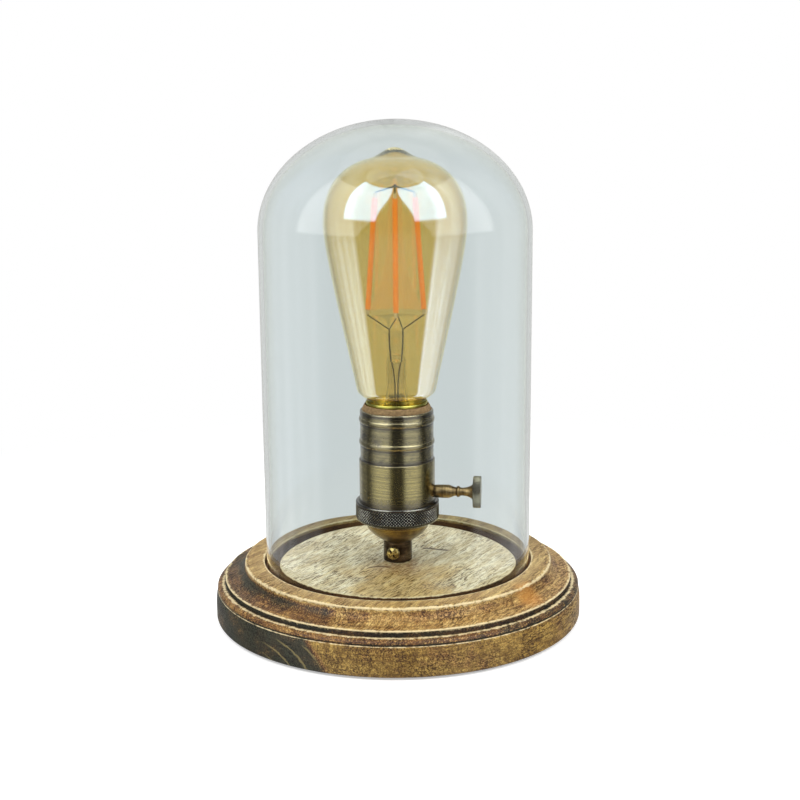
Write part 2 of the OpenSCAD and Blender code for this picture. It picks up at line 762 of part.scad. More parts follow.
// Height that the sealed tip adds at radius r
function nub(r) = r < nub_r ? nub_h * (0.5 + 0.5 * cos(180 * r / nub_r)) : 0;

// Crown of the bulb, from its widest place up to the top
function crown(r0, h, tip, n) = [for (i = [0:n]) let (t = 90 * i / n, r = r0 * pow(cos(t), 2 / crown_power))
    [i == n ? 0 : r, crown_z + h * pow(sin(t), 2 / crown_power) + (tip ? nub(r) : 0)]];

// Side of the bulb, from its widest place down to the cap's rim and into the cap
function bulb_side() = concat(
    bend([bulb_r, crown_z], [bulb_r, crown_z - 11.3], [0.694 * bulb_r, crown_z - 53.3],
        [0.569 * bulb_r, cap_rim_z + 6.5], 12),
    bend([0.563 * bulb_r, cap_rim_z + 5.6], [0.55 * bulb_r, cap_rim_z + 3.2], [neck_r + 0.9, cap_rim_z + 2.4],
        [neck_r, cap_rim_z + 0.2], 5),
    [[neck_r - 0.9, cap_rim_z - 3], [tube_r + 0.3, cap_rim_z - 8], [tube_r, tube_z]]);

module bulb_glass() {
    color("orange", 0.5) turned(concat(
        reversed(bulb_side()),
        crown(bulb_r, crown_h, true, 18),
        reversed(crown(bulb_r - bulb_t, crown_h - bulb_t, false, 18)),
        inset(bulb_side(), bulb_t)));
}

module bulb_cap() {
    low = tip_z + 4;
    wall = bulb_root_r - 0.5;
    crest = thread_d / 2;
    rim = cap_rim_r;
    color("gold") threaded(concat(
        [[wall - 0.8, low, 0], [bulb_root_r - gap, low, 0], [bulb_root_r, cap_thread_z - 0.5, 0]],
        thread_rows(bulb_root_r, thread_depth, cap_thread_z, cap_thread_h),
        [[crest - gap, cap_thread_top + 0.8, 0], [crest, cap_rim_z - 4, 0], [rim - gap, cap_rim_z - 1.2, 0],
            [rim, cap_rim_z, 0], [rim - 0.4, cap_rim_z, 0], [rim - 0.55, cap_rim_z - 1.2, 0],
            [crest - 0.4, cap_rim_z - 3.6, 0], [tube_r + 0.6, cap_rim_z - 7.8, 0], [wall, tube_z, 0],
            [wall, low + 0.8, 0]]));
}

module bulb_insulator() {
    rim = bulb_root_r - 0.3;
    plug = bulb_root_r - 1.6;
    pin = 0.6;
    color("black") turned([[pin, tip_z + 0.9], [tip_d / 2 + 0.4, tip_z + 0.9], [rim, tip_z + 3.8],
        [rim, tip_z + 3.9], [plug, tip_z + 3.95], [plug, tip_z + 5.8], [pin, tip_z + 5.8]]);
}

module bulb_tip() {
    color("silver") turned(concat([[0, tip_z + 0.8]],
        bend([0, tip_z], [tip_d / 4, tip_z], [tip_d / 2 - 0.1, tip_z + 0.1], [tip_d / 2, tip_z + 0.6], 5),
        [[tip_d / 2, tip_z + 0.8]]));
}

// Its children turn with the filaments
module in_bulb() {
    rotate([0, 0, filament_turn]) children();
}

module bulb_stem() {
    flare = tube_r - bulb_t - gap;
    top_z = stem_press_z;
    color("white", 0.5) in_bulb() difference() {
        union() {
            turned(concat([[flare - 0.8, tube_z], [flare, tube_z]],
                bend([flare, tube_z + 1], [flare * 0.8, tube_z + 8], [5, tube_z + 9], [4.6, tube_z + 20], 6),
                [[4.4, top_z - 2], [3.6, top_z], [0, top_z], [0, top_z - 2], [3.4, top_z - 3],
                    [3.7, tube_z + 20]],
                reversed(inset(bend([flare, tube_z + 1], [flare * 0.8, tube_z + 8], [5, tube_z + 9],
                    [4.6, tube_z + 20], 6), 0.8))));
            translate([-press_w / 2 + press_t / 2, -press_t / 2, top_z - 1])
                cube([press_w - press_t, press_t, press_h + 1]);
            for (side = [-1, 1]) translate([side * (press_w - press_t) / 2, 0, top_z - 1])
                cylinder(d = press_t, h = press_h + 1, $fn = 32);
            cylinder_from_to(1.6, tube_z + 2, top_z - 1);
        }
        for (side = [-1, 1]) translate([side * lead_x, 0, tube_z])
            cylinder(d = wire_d + 2 * fit, h = press_z + press_h + through, $fn = 24);
        cylinder_from_to(1, tube_z, top_z - 4);
    }
}

// Foot and top of a filament that stands at an angle, and the point just clear of its end
function foot_at(angle, past) = let (r = filament_foot_r + past * sin(filament_lean))
    [r * cos(angle), r * sin(angle), foot_z - past * cos(filament_lean)];
function top_at(angle, past) = let (r = filament_top_r - past * sin(filament_lean))
    [r * cos(angle), r * sin(angle), foot_z + filament_rise + past * cos(filament_lean)];

// A wire through points, with round joints
module wire(points) {
    for (i = [0:len(points) - 2]) rod(points[i], points[i + 1], wire_d / 2, $fn = 16);
    for (i = [1:len(points) - 2]) translate(points[i]) sphere(d = wire_d, $fn = 16);
}

module bulb_leads() {
    turn_z = stem_press_z + press_h + 1.5;
    color("silver") in_bulb() for (side = [0, 180]) rotate([0, 0, side]) {
        wire([[lead_x, 0, board_z + board_h + fit], [lead_x, 0, turn_z], foot_at(0, wire_end)]);
        wire([[lead_x, 0, turn_z - wire_d], [lead_x, 0, turn_z], foot_at(90, wire_end)]);
    }
}

// A rod on the line of the filament at this angle, between two distances from its foot
module on_filament(angle, from, to, r) {
    rotate([0, 0, angle]) translate([filament_foot_r, 0, foot_z]) rotate([0, -filament_lean, 0])
        cylinder_from_to(r, from, to, $fn = 24);
}

module bulb_filaments() {
    color("darkorange") in_bulb() for (angle = [0:90:270])
        on_filament(angle, clip_l, filament_l - clip_l, filament_d / 2);
}

module filament_clips() {
    r = 0.34 * filament_d;
    color("gray") in_bulb() for (angle = [0:90:270]) {
        on_filament(angle, 0, clip_l, r);
        on_filament(angle, filament_l - clip_l, filament_l, r);
    }
}

module bulb_top_wires() {
    hub_r = 0.9;
    color("silver") in_bulb() {
        translate([0, 0, hub_z]) sphere(r = hub_r, $fn = 24);
        for (angle = [0:90:270])
            rod([0, 0, hub_z], top_at(angle, wire_end), wire_d / 2, $fn = 16);
    }
}

// Rectifier board with one component and the pin to the tip contact
module bulb_driver() {
    board_w = 14;
    board_t = 1.2;
    color("green") {
        translate([-board_w / 2, -board_t / 2, board_z]) cube([board_w, board_t, board_h]);
        translate([3, board_t / 2, board_z + board_h / 2]) rotate([-90, 0, 0])
            cylinder(r = 2.4, h = 4, $fn = 32);
        translate([-5.5, board_t / 2, board_z + 1.5]) cube([5, 2, 5]);
        cylinder_from_to(0.4, tip_z + 1.1, board_z + 1);
    }
}

wooden_base();
felt_pad();
cord_bushing();
threaded_nipple();
nipple_washer();
nipple_nut();
holder_collar();
collar_screw();
holder_cap();
knurled_ring();
holder_body();
holder_sleeve();
fibre_liner();
socket_core();
screw_shell();
core_screws();
centre_contact();
shell_strap();
switch_spring();
terminal_screws();
switch_bushing();
switch_shaft();
switch_rotor();
knob_stem();
knob_disc();
glass_cloche();
bulb_glass();
bulb_cap();
bulb_insulator();
bulb_tip();
bulb_stem();
bulb_leads();
bulb_filaments();
filament_clips();
bulb_top_wires();
bulb_driver();
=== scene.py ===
"""Looks of the glass cloche table lamp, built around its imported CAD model.

Lengths in the classes are in millimetres, and every mesh is made in metres. The lamp stands on z = 0
with its axis on +Z, the knob points along +X and the front is -Y.
"""

import logging
import math
from collections.abc import Sequence
from dataclasses import dataclass, replace
from enum import Enum
from functools import reduce

import bmesh
import bpy
from mathutils import Matrix, Vector, noise


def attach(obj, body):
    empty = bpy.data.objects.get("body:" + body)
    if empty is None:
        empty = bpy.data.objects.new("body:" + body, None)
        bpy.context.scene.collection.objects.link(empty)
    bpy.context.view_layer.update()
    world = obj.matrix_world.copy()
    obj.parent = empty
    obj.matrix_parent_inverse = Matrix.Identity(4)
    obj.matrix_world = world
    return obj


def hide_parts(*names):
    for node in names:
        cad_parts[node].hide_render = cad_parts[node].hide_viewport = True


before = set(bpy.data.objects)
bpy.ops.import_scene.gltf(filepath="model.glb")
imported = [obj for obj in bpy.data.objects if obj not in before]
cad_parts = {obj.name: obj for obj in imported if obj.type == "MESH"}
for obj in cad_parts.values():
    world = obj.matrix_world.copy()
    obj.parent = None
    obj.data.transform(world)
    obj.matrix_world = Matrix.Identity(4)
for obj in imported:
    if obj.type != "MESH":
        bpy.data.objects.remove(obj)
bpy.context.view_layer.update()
LOG = logging.getLogger("lamp")
MM = 0.001
FULL = 2 * math.pi
DEGREES = 180 / math.pi

Point = tuple[float, float]
Spot = tuple[float, float, float]
Colour = tuple[float, float, float]


class Body(Enum):
    """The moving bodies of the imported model."""

    BASE = "base"
    KNOB = "switch_knob"
    CLOCHE = "cloche"
    BULB = "bulb"
    CONTACT = "bulb_contact"


class Axis(Enum):
    """The line that a turned piece is turned round."""

    LAMP = "lamp"
    KNOB = "knob"
    CORD = "cord"


def srgb(red: int, green: int, blue: int) -> Colour:
    """Turns a colour of 0 to 255 into the linear values that shaders take.

    Args:
        red: Red of the displayed colour.
        green: Green of the displayed colour.
        blue: Blue of the displayed colour.

    Returns:
        The linear colour.
    """
    parts = [channel / 255 for channel in (red, green, blue)]
    return tuple(v / 12.92 if v < 0.0405 else ((v + 0.055) / 1.055) ** 2.4 for v in parts)


# ---- shader maths ----


class Wire:
    """A node's output that takes part in shader maths."""

    def __init__(self, graph: "Graph", socket: bpy.types.NodeSocket) -> None:
        """Keeps the socket and the graph that new nodes go into."""
        self.graph = graph
        self.socket = socket

    def _maths(self, operation: str, *terms: object) -> "Wire":
        """Adds a Math node, or a Vector Math node if a term is a vector or a colour."""
        vector = any(isinstance(t, Wire) and t.socket.type in ("VECTOR", "RGBA") for t in terms)
        kind = "ShaderNodeVectorMath" if vector else "ShaderNodeMath"
        return self.graph.add(kind, {"operation": operation}, dict(enumerate(terms)))

    def __add__(self, other: object) -> "Wire":
        """Self plus other."""
        return self._maths("ADD", self, other)

    __radd__ = __add__

    def __sub__(self, other: object) -> "Wire":
        """Self minus other."""
        return self._maths("SUBTRACT", self, other)

    def __rsub__(self, other: object) -> "Wire":
        """Other minus self."""
        return self._maths("SUBTRACT", other, self)

    def __mul__(self, other: object) -> "Wire":
        """Self times other."""
        return self._maths("MULTIPLY", self, other)

    __rmul__ = __mul__

    def __abs__(self) -> "Wire":
        """Self without its sign."""
        return self._maths("ABSOLUTE", self)

    def apply(self, operation: str, *others: object) -> "Wire":
        """One named Math operation on self and others."""
        return self._maths(operation, self, *others)

    def length(self) -> "Wire":
        """Length of a vector."""
        return self.graph.add("ShaderNodeVectorMath", {"operation": "LENGTH"}, {0: self}).out("Value")

    def dot(self, other: Spot) -> "Wire":
        """Dot product of a vector with a fixed direction."""
        product = self.graph.add("ShaderNodeVectorMath", {"operation": "DOT_PRODUCT"}, {0: self, 1: other})
        return product.out("Value")

    def out(self, name: str) -> "Wire":
        """Another output of the same node."""
        return Wire(self.graph, self.socket.node.outputs[name])

    def smooth(self, low: float, high: float, start: float = 0.0, end: float = 1.0) -> "Wire":
        """Goes smoothly from start to end as self goes from low to high, also where low is larger."""
        if low > high:
            low, high, start, end = high, low, end, start
        return self.graph.add(
            "ShaderNodeMapRange",
            {"interpolation_type": "SMOOTHSTEP"},
            {"Value": self, "From Min": low, "From Max": high, "To Min": start, "To Max": end},
        )

    def band(self, low: float, high: float, soft: float) -> "Wire":
        """1 between low and high and 0 outside, with edges of width soft."""
        return self.smooth(low - soft, low + soft) * self.smooth(high - soft, high + soft, 1.0, 0.0)

    def reached(self, count: int) -> "Wire":
        """1 where a whole number has reached count, else 0."""
        return self.smooth(count - 0.6, count - 0.4)

    def noise(self, scale: float, detail: float = 2.0, rough: float = 0.5, bend: float = 0.0) -> "Wire":
        """Noise from 0 to 1 at the place that self gives."""
        return self.graph.add(
            "ShaderNodeTexNoise",
            {"noise_dimensions": "3D"},
            {"Vector": self, "Scale": scale, "Detail": detail, "Roughness": rough, "Distortion": bend},
        )

    def mix(self, share: object, other: object) -> "Wire":
        """Self with share of another colour."""
        return self.graph.mix(share, self, other)

    def scaled(self, share: object, factor: Colour) -> "Wire":
        """Self with share of its product with factor."""
        return self.graph.mix(share, self, self * factor)


class Graph:
    """The node tree of one material, light or world."""

    def __init__(self, tree: bpy.types.NodeTree) -> None:
        """Empties the tree."""
        self.tree = tree
        tree.nodes.clear()

    def add(self, kind: str, settings: dict | None = None, values: dict | None = None) -> Wire:
        """Adds a node.

        Args:
            kind: The node's type.
            settings: Its settings, which are set first. "stops" holds a ramp's (position, colour) pairs.
            values: Numbers, colours or wires for its input sockets, by name or number.

        Returns:
            The node's first usable output, or a wire on its first input if it has no output.
        """
        node = self.tree.nodes.new(kind)
        for name, setting in (settings or {}).items():
            if name == "stops":
                self._stops(node.color_ramp, setting)
            else:
                setattr(node, name, setting)
        for key, value in (values or {}).items():
            socket = node.inputs[key]
            if isinstance(value, Wire):
                self.tree.links.new(value.socket, socket)
            elif socket.type == "RGBA" and len(value) == 3:
                socket.default_value = (*value, 1.0)
            elif socket.type == "VECTOR" and isinstance(value, (int, float)):
                socket.default_value = (value, value, value)
            else:
                socket.default_value = value
        usable = [s for s in node.outputs if s.enabled]
        return Wire(self, usable[0] if usable else node.inputs[0])

    @staticmethod
    def _stops(ramp: bpy.types.ColorRamp, stops: Sequence[tuple[float, Colour]]) -> None:
        """Sets a colour ramp's stops."""
        while len(ramp.elements) < len(stops):
            ramp.elements.new(1.0)
        for element, (position, colour) in zip(ramp.elements, stops, strict=True):
            element.position = position
            element.color = (*colour, 1.0)

    def ramp(self, value: Wire, *stops: tuple[float, Colour]) -> Wire:
        """A colour ramp over value."""
        return self.add("ShaderNodeValToRGB", {"stops": stops}, {"Fac": value})

    def mix(self, share: object, first: object, second: object) -> Wire:
        """Mixes two colours by share."""
        return self.add("ShaderNodeMix", {"data_type": "RGBA"}, {0: share, 6: first, 7: second})

    def place(self) -> Wire:
        """The place on the piece in millimetres."""
        return self.add("ShaderNodeTexCoord").out("Object") * (1000.0, 1000.0, 1000.0)

    def parts(self, vector: Wire) -> tuple[Wire, Wire, Wire]:
        """The three parts of a vector."""
        split = self.add("ShaderNodeSeparateXYZ", None, {0: vector})
        return split.out("X"), split.out("Y"), split.out("Z")

    def join(self, x: object, y: object, z: object = 0.0) -> Wire:
        """A vector from three parts."""
        return self.add("ShaderNodeCombineXYZ", None, {"X": x, "Y": y, "Z": z})

    def bump(self, height: Wire, depth: float) -> Wire:
        """A bump of the given depth in millimetres."""
        return self.add("ShaderNodeBump", None, {"Height": height, "Distance": depth * MM, "Strength": 1.0})

    def shader(self, kind: str, **values: object) -> Wire:
        """A shader node with its inputs by name."""
        return self.add(f"ShaderNode{kind}", None, values)

    def switch(self, share: Wire, first: Wire, second: Wire) -> Wire:
        """Mixes two shaders by share."""
        return self.add("ShaderNodeMixShader", None, {0: share, 1: first, 2: second})


# ---- finishes ----


@dataclass(frozen=True)
class Finish:
    """A material for one of the record's slots. Subclasses say how it varies over a surface."""

    name: str
    slot: str

    def shader(self, graph: Graph) -> dict[str, object]:
        """The Principled node's inputs."""
        raise NotImplementedError

    def material(self) -> bpy.types.Material:
        """Makes the material once and then returns the same one."""
        made = bpy.data.materials.get(f"{self.name} finish")
        if made is None:
            made = bpy.data.materials.new(f"{self.name} finish")
            made.use_nodes = True
            graph = Graph(made.node_tree)
            self.surface(graph, graph.add("ShaderNodeBsdfPrincipled", None, self.shader(graph)))
        return made

    def surface(self, graph: Graph, principled: Wire) -> None:
        """Joins the Principled node to the output."""
        graph.shader("OutputMaterial", Surface=principled)


@dataclass(frozen=True)
class Glass(Finish):
    """Clear or tinted glass that lets lamps through to what is inside it."""

    tint: Colour
    shade: Colour
    ior: float = 1.45
    coat: float = 0.0
    coat_ior: float = 1.5

    def shader(self, graph: Graph) -> dict[str, object]:
        """Smooth glass, tinted at each face."""
        return {
            "Base Color": self.tint,
            "Roughness": 0.0,
            "IOR": self.ior,
            "Transmission Weight": 1.0,
            "Coat Weight": self.coat,
            "Coat IOR": self.coat_ior,
            "Coat Roughness": 0.0,
        }

    def surface(self, graph: Graph, principled: Wire) -> None:
        """Lets rays from lamps and the mirrored rays of the metal inside through unbent."""
        clear = graph.shader("BsdfTransparent", Color=self.shade)
        gap = graph.shader("BsdfTransparent", Color=(1.0, 1.0, 1.0))
        rays = graph.add("ShaderNodeLightPath")
        blurred = graph.switch(rays.out("Is Singular Ray"), gap, principled)
        seen = graph.switch(rays.out("Is Reflection Ray"), principled, blurred)
        lit = graph.switch(rays.out("Is Shadow Ray"), seen, clear)
        graph.shader("OutputMaterial", Surface=lit)


@dataclass(frozen=True)
class Metal(Finish):
    """Turned and worn metal, with fine lines round its axis, patches of age and dark seams.

    Each seam is a place along the axis and its reach. Cuts are a knurl's radius and depth.
    """

    bright: Colour
    aged: Colour
    rough: float = 0.22
    lines: float = 1.1
    depth: float = 0.02
    age: float = 0.5
    axis: Axis = Axis.LAMP
    seams: tuple[Point, ...] = ()
    coat: float = 0.0
    cuts: Point | None = None

    def shader(self, graph: Graph) -> dict[str, object]:
        """Bright metal under patches of age, with turning lines."""
        place = graph.place()
        x, y, z = graph.parts(place)
        if self.axis is Axis.LAMP:
            along, across = z, graph.join(x, y)
        else:
            along, across = x, graph.join(0.0, y, z - KNOB_Z)
        turned = graph.join(along * self.lines, across.length() * self.lines * 0.6) + across * 0.02
        fine = turned.noise(1.6, 3.0, 0.7)
        broad = turned.noise(0.4)
        specks = place.noise(1.4, 2.0, 0.6)
        worn = place.noise(0.16, 4.0, 0.6) * 0.6 + broad * 0.4 + specks * 0.05
        old = worn.smooth(0.62 - 0.5 * self.age, 0.86 - 0.5 * self.age)
        for height, reach in self.seams:
            near = abs(along - height) + (specks - 0.5) * 0.8 * reach
            old = old.apply("MAXIMUM", near.smooth(reach, 0.0))
        if self.cuts:
            top, deep = self.cuts
            old = old.apply("MAXIMUM", across.length().band(top - deep * 1.2, top - deep * 0.45, deep * 0.2))
        grain = fine.smooth(0.36, 0.62)
        return {
            "Base Color": graph.mix(old, self.bright, self.aged).scaled(grain * 0.6, (0.5, 0.48, 0.46)),
            "Metallic": 1.0,
            "Roughness": self.rough + old * 0.08 + grain * 0.05,
            "Coat Weight": self.coat,
            "Coat IOR": 2.0,
            "Coat Roughness": 0.16,
            "Normal": graph.bump(fine + broad * 0.6, self.depth),
        }


@dataclass(frozen=True)
class Plain(Finish):
    """Moulded, fired or pressed stuff with a little mottle and grain."""

    tone: Colour
    other: Colour
    rough: float = 0.5
    scale: float = 1.0
    depth: float = 0.03
    metal: float = 0.0

    def shader(self, graph: Graph) -> dict[str, object]:
        """Mottled colour with a fine grain."""
        place = graph.place()
        mottle = place.noise(0.5 * self.scale, 3.0, 0.6)
        grain = place.noise(6.0 * self.scale, 2.0, 0.6)
        return {
            "Base Color": graph.mix((mottle * 0.7 + grain * 0.3).smooth(0.3, 0.7), self.tone, self.other),
            "Metallic": self.metal,
            "Roughness": self.rough + grain * 0.1,
            "Normal": graph.bump(grain, self.depth),
        }


@dataclass(frozen=True)
class Steps:
    """Radii and heights of the wooden base's steps, in millimetres, for its mesh and its wood."""

    disc_r: float = 54.2
    groove_r: float = 61.8
    flat_r: float = 70.8
    lip_r: float = 79.9
    band_r: float = 80.9
    drum_top_r: float = 83.35
    drum_r: float = 84.3
    drum_z: float = 14.8
    band_z: float = 17.3
    lip_z: float = 20.0
    ring_z: float = 26.6
    disc_z: float = 25.4
    floor_z: float = 20.6


@dataclass(frozen=True)
class ScorchedWood(Finish):
    """Turned wood with pores, growth rings, charred places, painted shade in its hollows and edges rubbed
    bright with a painted highlight.

    Each edge is a radius, a height and a width in millimetres.
    """

    grain: Spot = (0.40, 0.917, 0.0)
    across: Spot = (0.917, -0.40, 0.0)
    right: Spot = (0.994, 0.113, 0.0)
    front: Spot = (0.113, -0.994, 0.0)
    at: Steps = Steps()
    inner_r: float = 58.1
    # edges rubbed bright, each with a painted highlight
    edges: tuple[Spot, ...] = (
        (54.0, 25.3, 0.6), (62.0, 26.5, 0.8), (70.7, 26.1, 1.2), (79.9, 19.7, 1.25), (80.9, 17.1, 1.1),
        (83.4, 14.4, 0.3), (83.5, 1.9, 0.5),
    )

    def outside(self, radius: Wire) -> Wire:
        """0 on the disc under the glass, rising to 1 at the cove."""
        return radius.smooth(60.0, 72.0)

    def pale(self, graph: Graph, place: Wire, streak: Wire, radius: Wire, z: Wire) -> Wire:
        """Colour of the unburnt wood, lighter and more golden on the disc under the glass, where it is also
        painted brighter to make up for the light that the glass takes.

        Args:
            graph: The material's graph.
            place: The place in millimetres.
            streak: The grain's light and dark, from 0 to 1.
            radius: Distance from the axis.
            z: Height.

        Returns:
            The colour.
        """
        side, near = place.dot(self.right), place.dot(self.front)
        dapple = place.noise(0.045, 3.0, 0.55).smooth(0.38, 0.62)
        strip = streak.smooth(0.32, 0.68)
        ring = graph.mix(strip, srgb(212, 186, 126), srgb(158, 126, 72))
        cove = graph.mix(strip, srgb(214, 186, 128), srgb(160, 124, 70))
        drum = graph.mix(strip, srgb(192, 162, 92), srgb(140, 110, 54))

        # the disc, painted brighter for the light that the glass takes, lighter towards its back and golden
        # before the collar
        disc = graph.mix(strip, srgb(254, 248, 222), srgb(232, 218, 180))
        disc = disc.scaled(near.smooth(4.0, -24.0) * 0.6, (1.2, 1.2, 1.22))
        middle = (abs(side - 2.0) + dapple * 14.0).smooth(18.0, 36.0, 1.0, 0.0)
        disc = disc.mix(middle * near.smooth(-14.0, 26.0) * 0.7, srgb(208, 172, 92))

        tone = disc.mix(radius.smooth(self.inner_r - 0.1, self.inner_r + 0.1), ring)
        tone = tone.mix(radius.smooth(self.at.flat_r - 0.2, self.at.flat_r + 0.2), cove)
        low = z.smooth(self.at.drum_z + 0.2, self.at.drum_z - 0.2)
        tone = tone.mix(low, drum).scaled(low * side.smooth(24.0, 70.0) * 0.5, (1.25, 1.25, 1.2))
        blotch = place.noise(0.09, 3.0, 0.6).smooth(0.42, 0.60)
        tone = tone.scaled(low * blotch * 0.8, (0.64, 0.58, 0.46))
        return tone.scaled(dapple * 0.28, (0.78, 0.74, 0.66))

    def scorch_and_shade(self, place: Wire, radius: Wire, z: Wire) -> Wire:
        """How far each place is darkened, from 0 to about 1: charred places, and painted shade in the
        groove, on the cove's inner wall, towards the band's right and in the recess under the lip.

        Args:
            place: The place in millimetres.
            radius: Distance from the axis.
            z: Height.

        Returns:
            The charring with the painted shade.
        """
        at, side = self.at, place.dot(self.right)
        patch = place.noise(0.035, 3.0, 0.55) - 0.5
        scorch = place.noise(0.12, 3.0, 0.65) - 0.5
        warp = side + patch * 16.0 + scorch * 8.0
        left = warp.smooth(-26.0, -31.0)
        rim = radius.smooth(79.0, 80.0)

        # the drum's left, and the cove, charred on its left and with painted shade on its inner wall
        drum = z.smooth(at.drum_z + 0.1, at.drum_z - 0.2)
        dark = drum * ((warp + z * 0.5).smooth(-28.0, -34.0) * 0.95 - 0.02)
        cove = radius.smooth(at.flat_r - 0.2, at.flat_r + 0.4) * z.smooth(at.band_z - 0.1, at.band_z + 0.5)
        dark = dark + cove * (left * 0.36 + 0.02 + radius.smooth(75.5, 71.5) * (0.12 + left * 0.2))
        dark = dark + cove * warp.smooth(-58.0, -70.0) * 0.22

        # the rounded band, brown and with painted shade towards its right, its seam with the drum, and the
        # ring
        band = z.band(at.drum_z - 0.1, at.band_z + 0.1, 0.15) * rim
        dark = dark + band * (0.36 + side.smooth(18.0, 50.0) * 0.22)
        dark = dark + z.band(at.drum_z - 0.3, at.drum_z + 0.6, 0.2) * rim * 0.4
        dark = dark + radius.band(61.0, at.flat_r, 0.3) * (left * 0.10 - 0.12)

        # the groove, charred and in painted shade, the recess under the lip in painted shade, and the foot,
        # darker towards the bottom
        groove = radius.band(at.disc_r - 0.2, at.groove_r + 0.2, 0.3)
        groove = groove * z.smooth(at.disc_z + 0.1, at.disc_z - 0.5)
        recess = radius.band(78.0, 80.3, 0.5) * z.band(at.band_z - 0.4, at.lip_z - 0.5, 0.25)
        dark = dark + groove * 0.58 + recess * 0.6 + z.smooth(1.7, 1.2) * 0.5
        return dark + (patch * 0.8 + scorch * 0.9) * (0.35 + self.outside(radius) * 0.65)

    def scars(self, graph: Graph, place: Wire, tone: Wire, z: Wire) -> Wire:
        """Adds the cracks and strokes by the collar, the knot, the gold patch and the arcs on the drum.

        Args:
            graph: The material's graph.
            place: The place in millimetres.
            tone: The colour so far.
            z: Height.

        Returns:
            The colour with these marks.
        """
        side, near = place.dot(self.right), place.dot(self.front)
        warp = (place.noise(0.35, 2.0, 0.6) - 0.5) * 5.0
        flat = self.at.disc_z
        top = z.smooth(flat - 0.6, flat - 0.2) * z.smooth(flat + 0.4, flat + 0.1)
        left = abs(near - 11.0 - (side + 8.0) * (side + 8.0) * 0.06 + warp * 0.3).smooth(1.3, 0.6)
        right = abs(near + 14.0 - (side - 17.0) * 0.3 + warp * 0.3).smooth(1.3, 0.5)
        crack = (left * side.band(-13.5, -3.5, 1.0)).apply("MAXIMUM", right * side.band(12.0, 24.0, 1.5))
        tone = tone.mix(crack * top * 0.85, srgb(78, 48, 26))
        char = graph.join(side - 1.0 + warp, (near - 12.0 + warp) * 0.8).length()
        strokes = (place * (0.5, 1.6, 1.0)).noise(0.9, 3.0, 0.7).smooth(0.46, 0.56)
        tone = tone.mix(char.smooth(14.0, 5.0) * strokes * top * 0.9, srgb(118, 68, 28))
        knot = graph.join(side - 18.0 + warp, (near - 39.5 + warp) * 1.6).length()
        swirl = (knot * 0.42).apply("FRACT").smooth(0.45, 0.95) * knot.smooth(9.5, 6.5)
        tone = tone.mix(swirl * top * 0.8, srgb(108, 84, 74))
        gold = graph.join(side - 57.0 + warp, near - 46.0 + warp).length()
        tone = tone.mix(gold.smooth(10.0, 2.0) * z.smooth(19.5, 20.5) * 0.6, srgb(190, 132, 62))
        arcs = graph.join(side + 62.0 + warp * 0.5, z * 1.5 + 4.0).length()
        line = abs((arcs * 0.145).apply("FRACT") - 0.5).smooth(0.10, 0.03)
        line = line * side.band(-56.0, -34.0, 4.0) * z.smooth(12.5, 10.0) * near.smooth(0.0, 9.0)
        return tone.mix(line * 0.4, srgb(172, 156, 108))

    def shader(self, graph: Graph) -> dict[str, object]:
        """Wood from its growth rings up to its charred places, painted shade and edges rubbed bright with a
        painted highlight.
        """
        place = graph.place()
        x, y, z = graph.parts(place)
        along, aside = place.dot(self.grain), place.dot(self.across)
        radius = graph.join(x, y).length()
        outside = self.outside(radius)
        fibre = graph.join(along * 0.10, aside, z)

        # growth rings round a pith that lies below the base and leans
        depth = z + along * 0.16 + 46.0
        off = aside + 14.0 + place.noise(0.022) * 34.0
        wander = fibre.noise(0.12, 3.0, 0.55)
        years = ((off * off + depth * depth).apply("SQRT") * 0.22 + wander * 1.1).apply("FRACT")
        year = years.smooth(0.0, 0.85) * years.smooth(0.88, 1.0, 1.0, 0.0)

        # pores, which are finer on the disc, and the tool's lines
        streak = fibre.noise(0.55, 4.0, 0.65, 0.4)
        crowd = place.noise(0.06).smooth(0.36, 0.60)
        thin = (fibre * (1.1, 1.0, 1.0)).noise(2.1, 2.0, 0.6).smooth(0.53, 0.57)
        wide = (fibre * (1.5, 1.0, 1.0)).noise(1.6, 2.0, 0.65).smooth(0.52, 0.565)
        dots = (fibre * (4.0, 1.0, 1.0)).noise(1.2, 2.0, 0.6).smooth(0.56, 0.62)
        pores = thin * (0.5 + crowd * 0.5) * (1.0 - outside) + wide * (0.55 + crowd * 0.45) * outside
        pores = pores.apply("MAXIMUM", dots * outside * (0.5 + crowd * 0.5))
        lathe = (graph.join(radius, z) + place * 0.02).noise(1.0, 2.0, 0.6)
        stipple = place.noise(1.5, 3.0, 0.75)

        scorch_and_shade = self.scorch_and_shade(place, radius, z)
        tone = self.pale(graph, place, streak, radius, z).scaled(year * 0.45, (0.58, 0.50, 0.38))
        wash = graph.join(along * 0.16, aside, z).noise(0.2, 3.0, 0.6).smooth(0.42, 0.62)
        wash = wash * radius.smooth(self.inner_r + 0.1, self.inner_r - 0.1)
        tone = tone.scaled(wash * 0.5, (0.80, 0.70, 0.50))
        # colours of the charring and of the painted shade
        scorch_and_shade_tone = graph.ramp(
            scorch_and_shade,
            (0.00, srgb(172, 138, 84)), (0.24, srgb(140, 102, 58)), (0.42, srgb(108, 72, 40)),
            (0.60, srgb(80, 56, 36)), (0.78, srgb(60, 55, 42)), (1.00, srgb(52, 56, 46)),
        )
        tone = tone.mix(scorch_and_shade.smooth(0.02, 0.30), scorch_and_shade_tone)
        crumbs = stipple.smooth(0.54, 0.61) * scorch_and_shade.smooth(0.03, 0.25) * scorch_and_shade.smooth(0.85, 0.6) * outside
        tone = tone.mix(crumbs * 0.6, srgb(196, 164, 104))
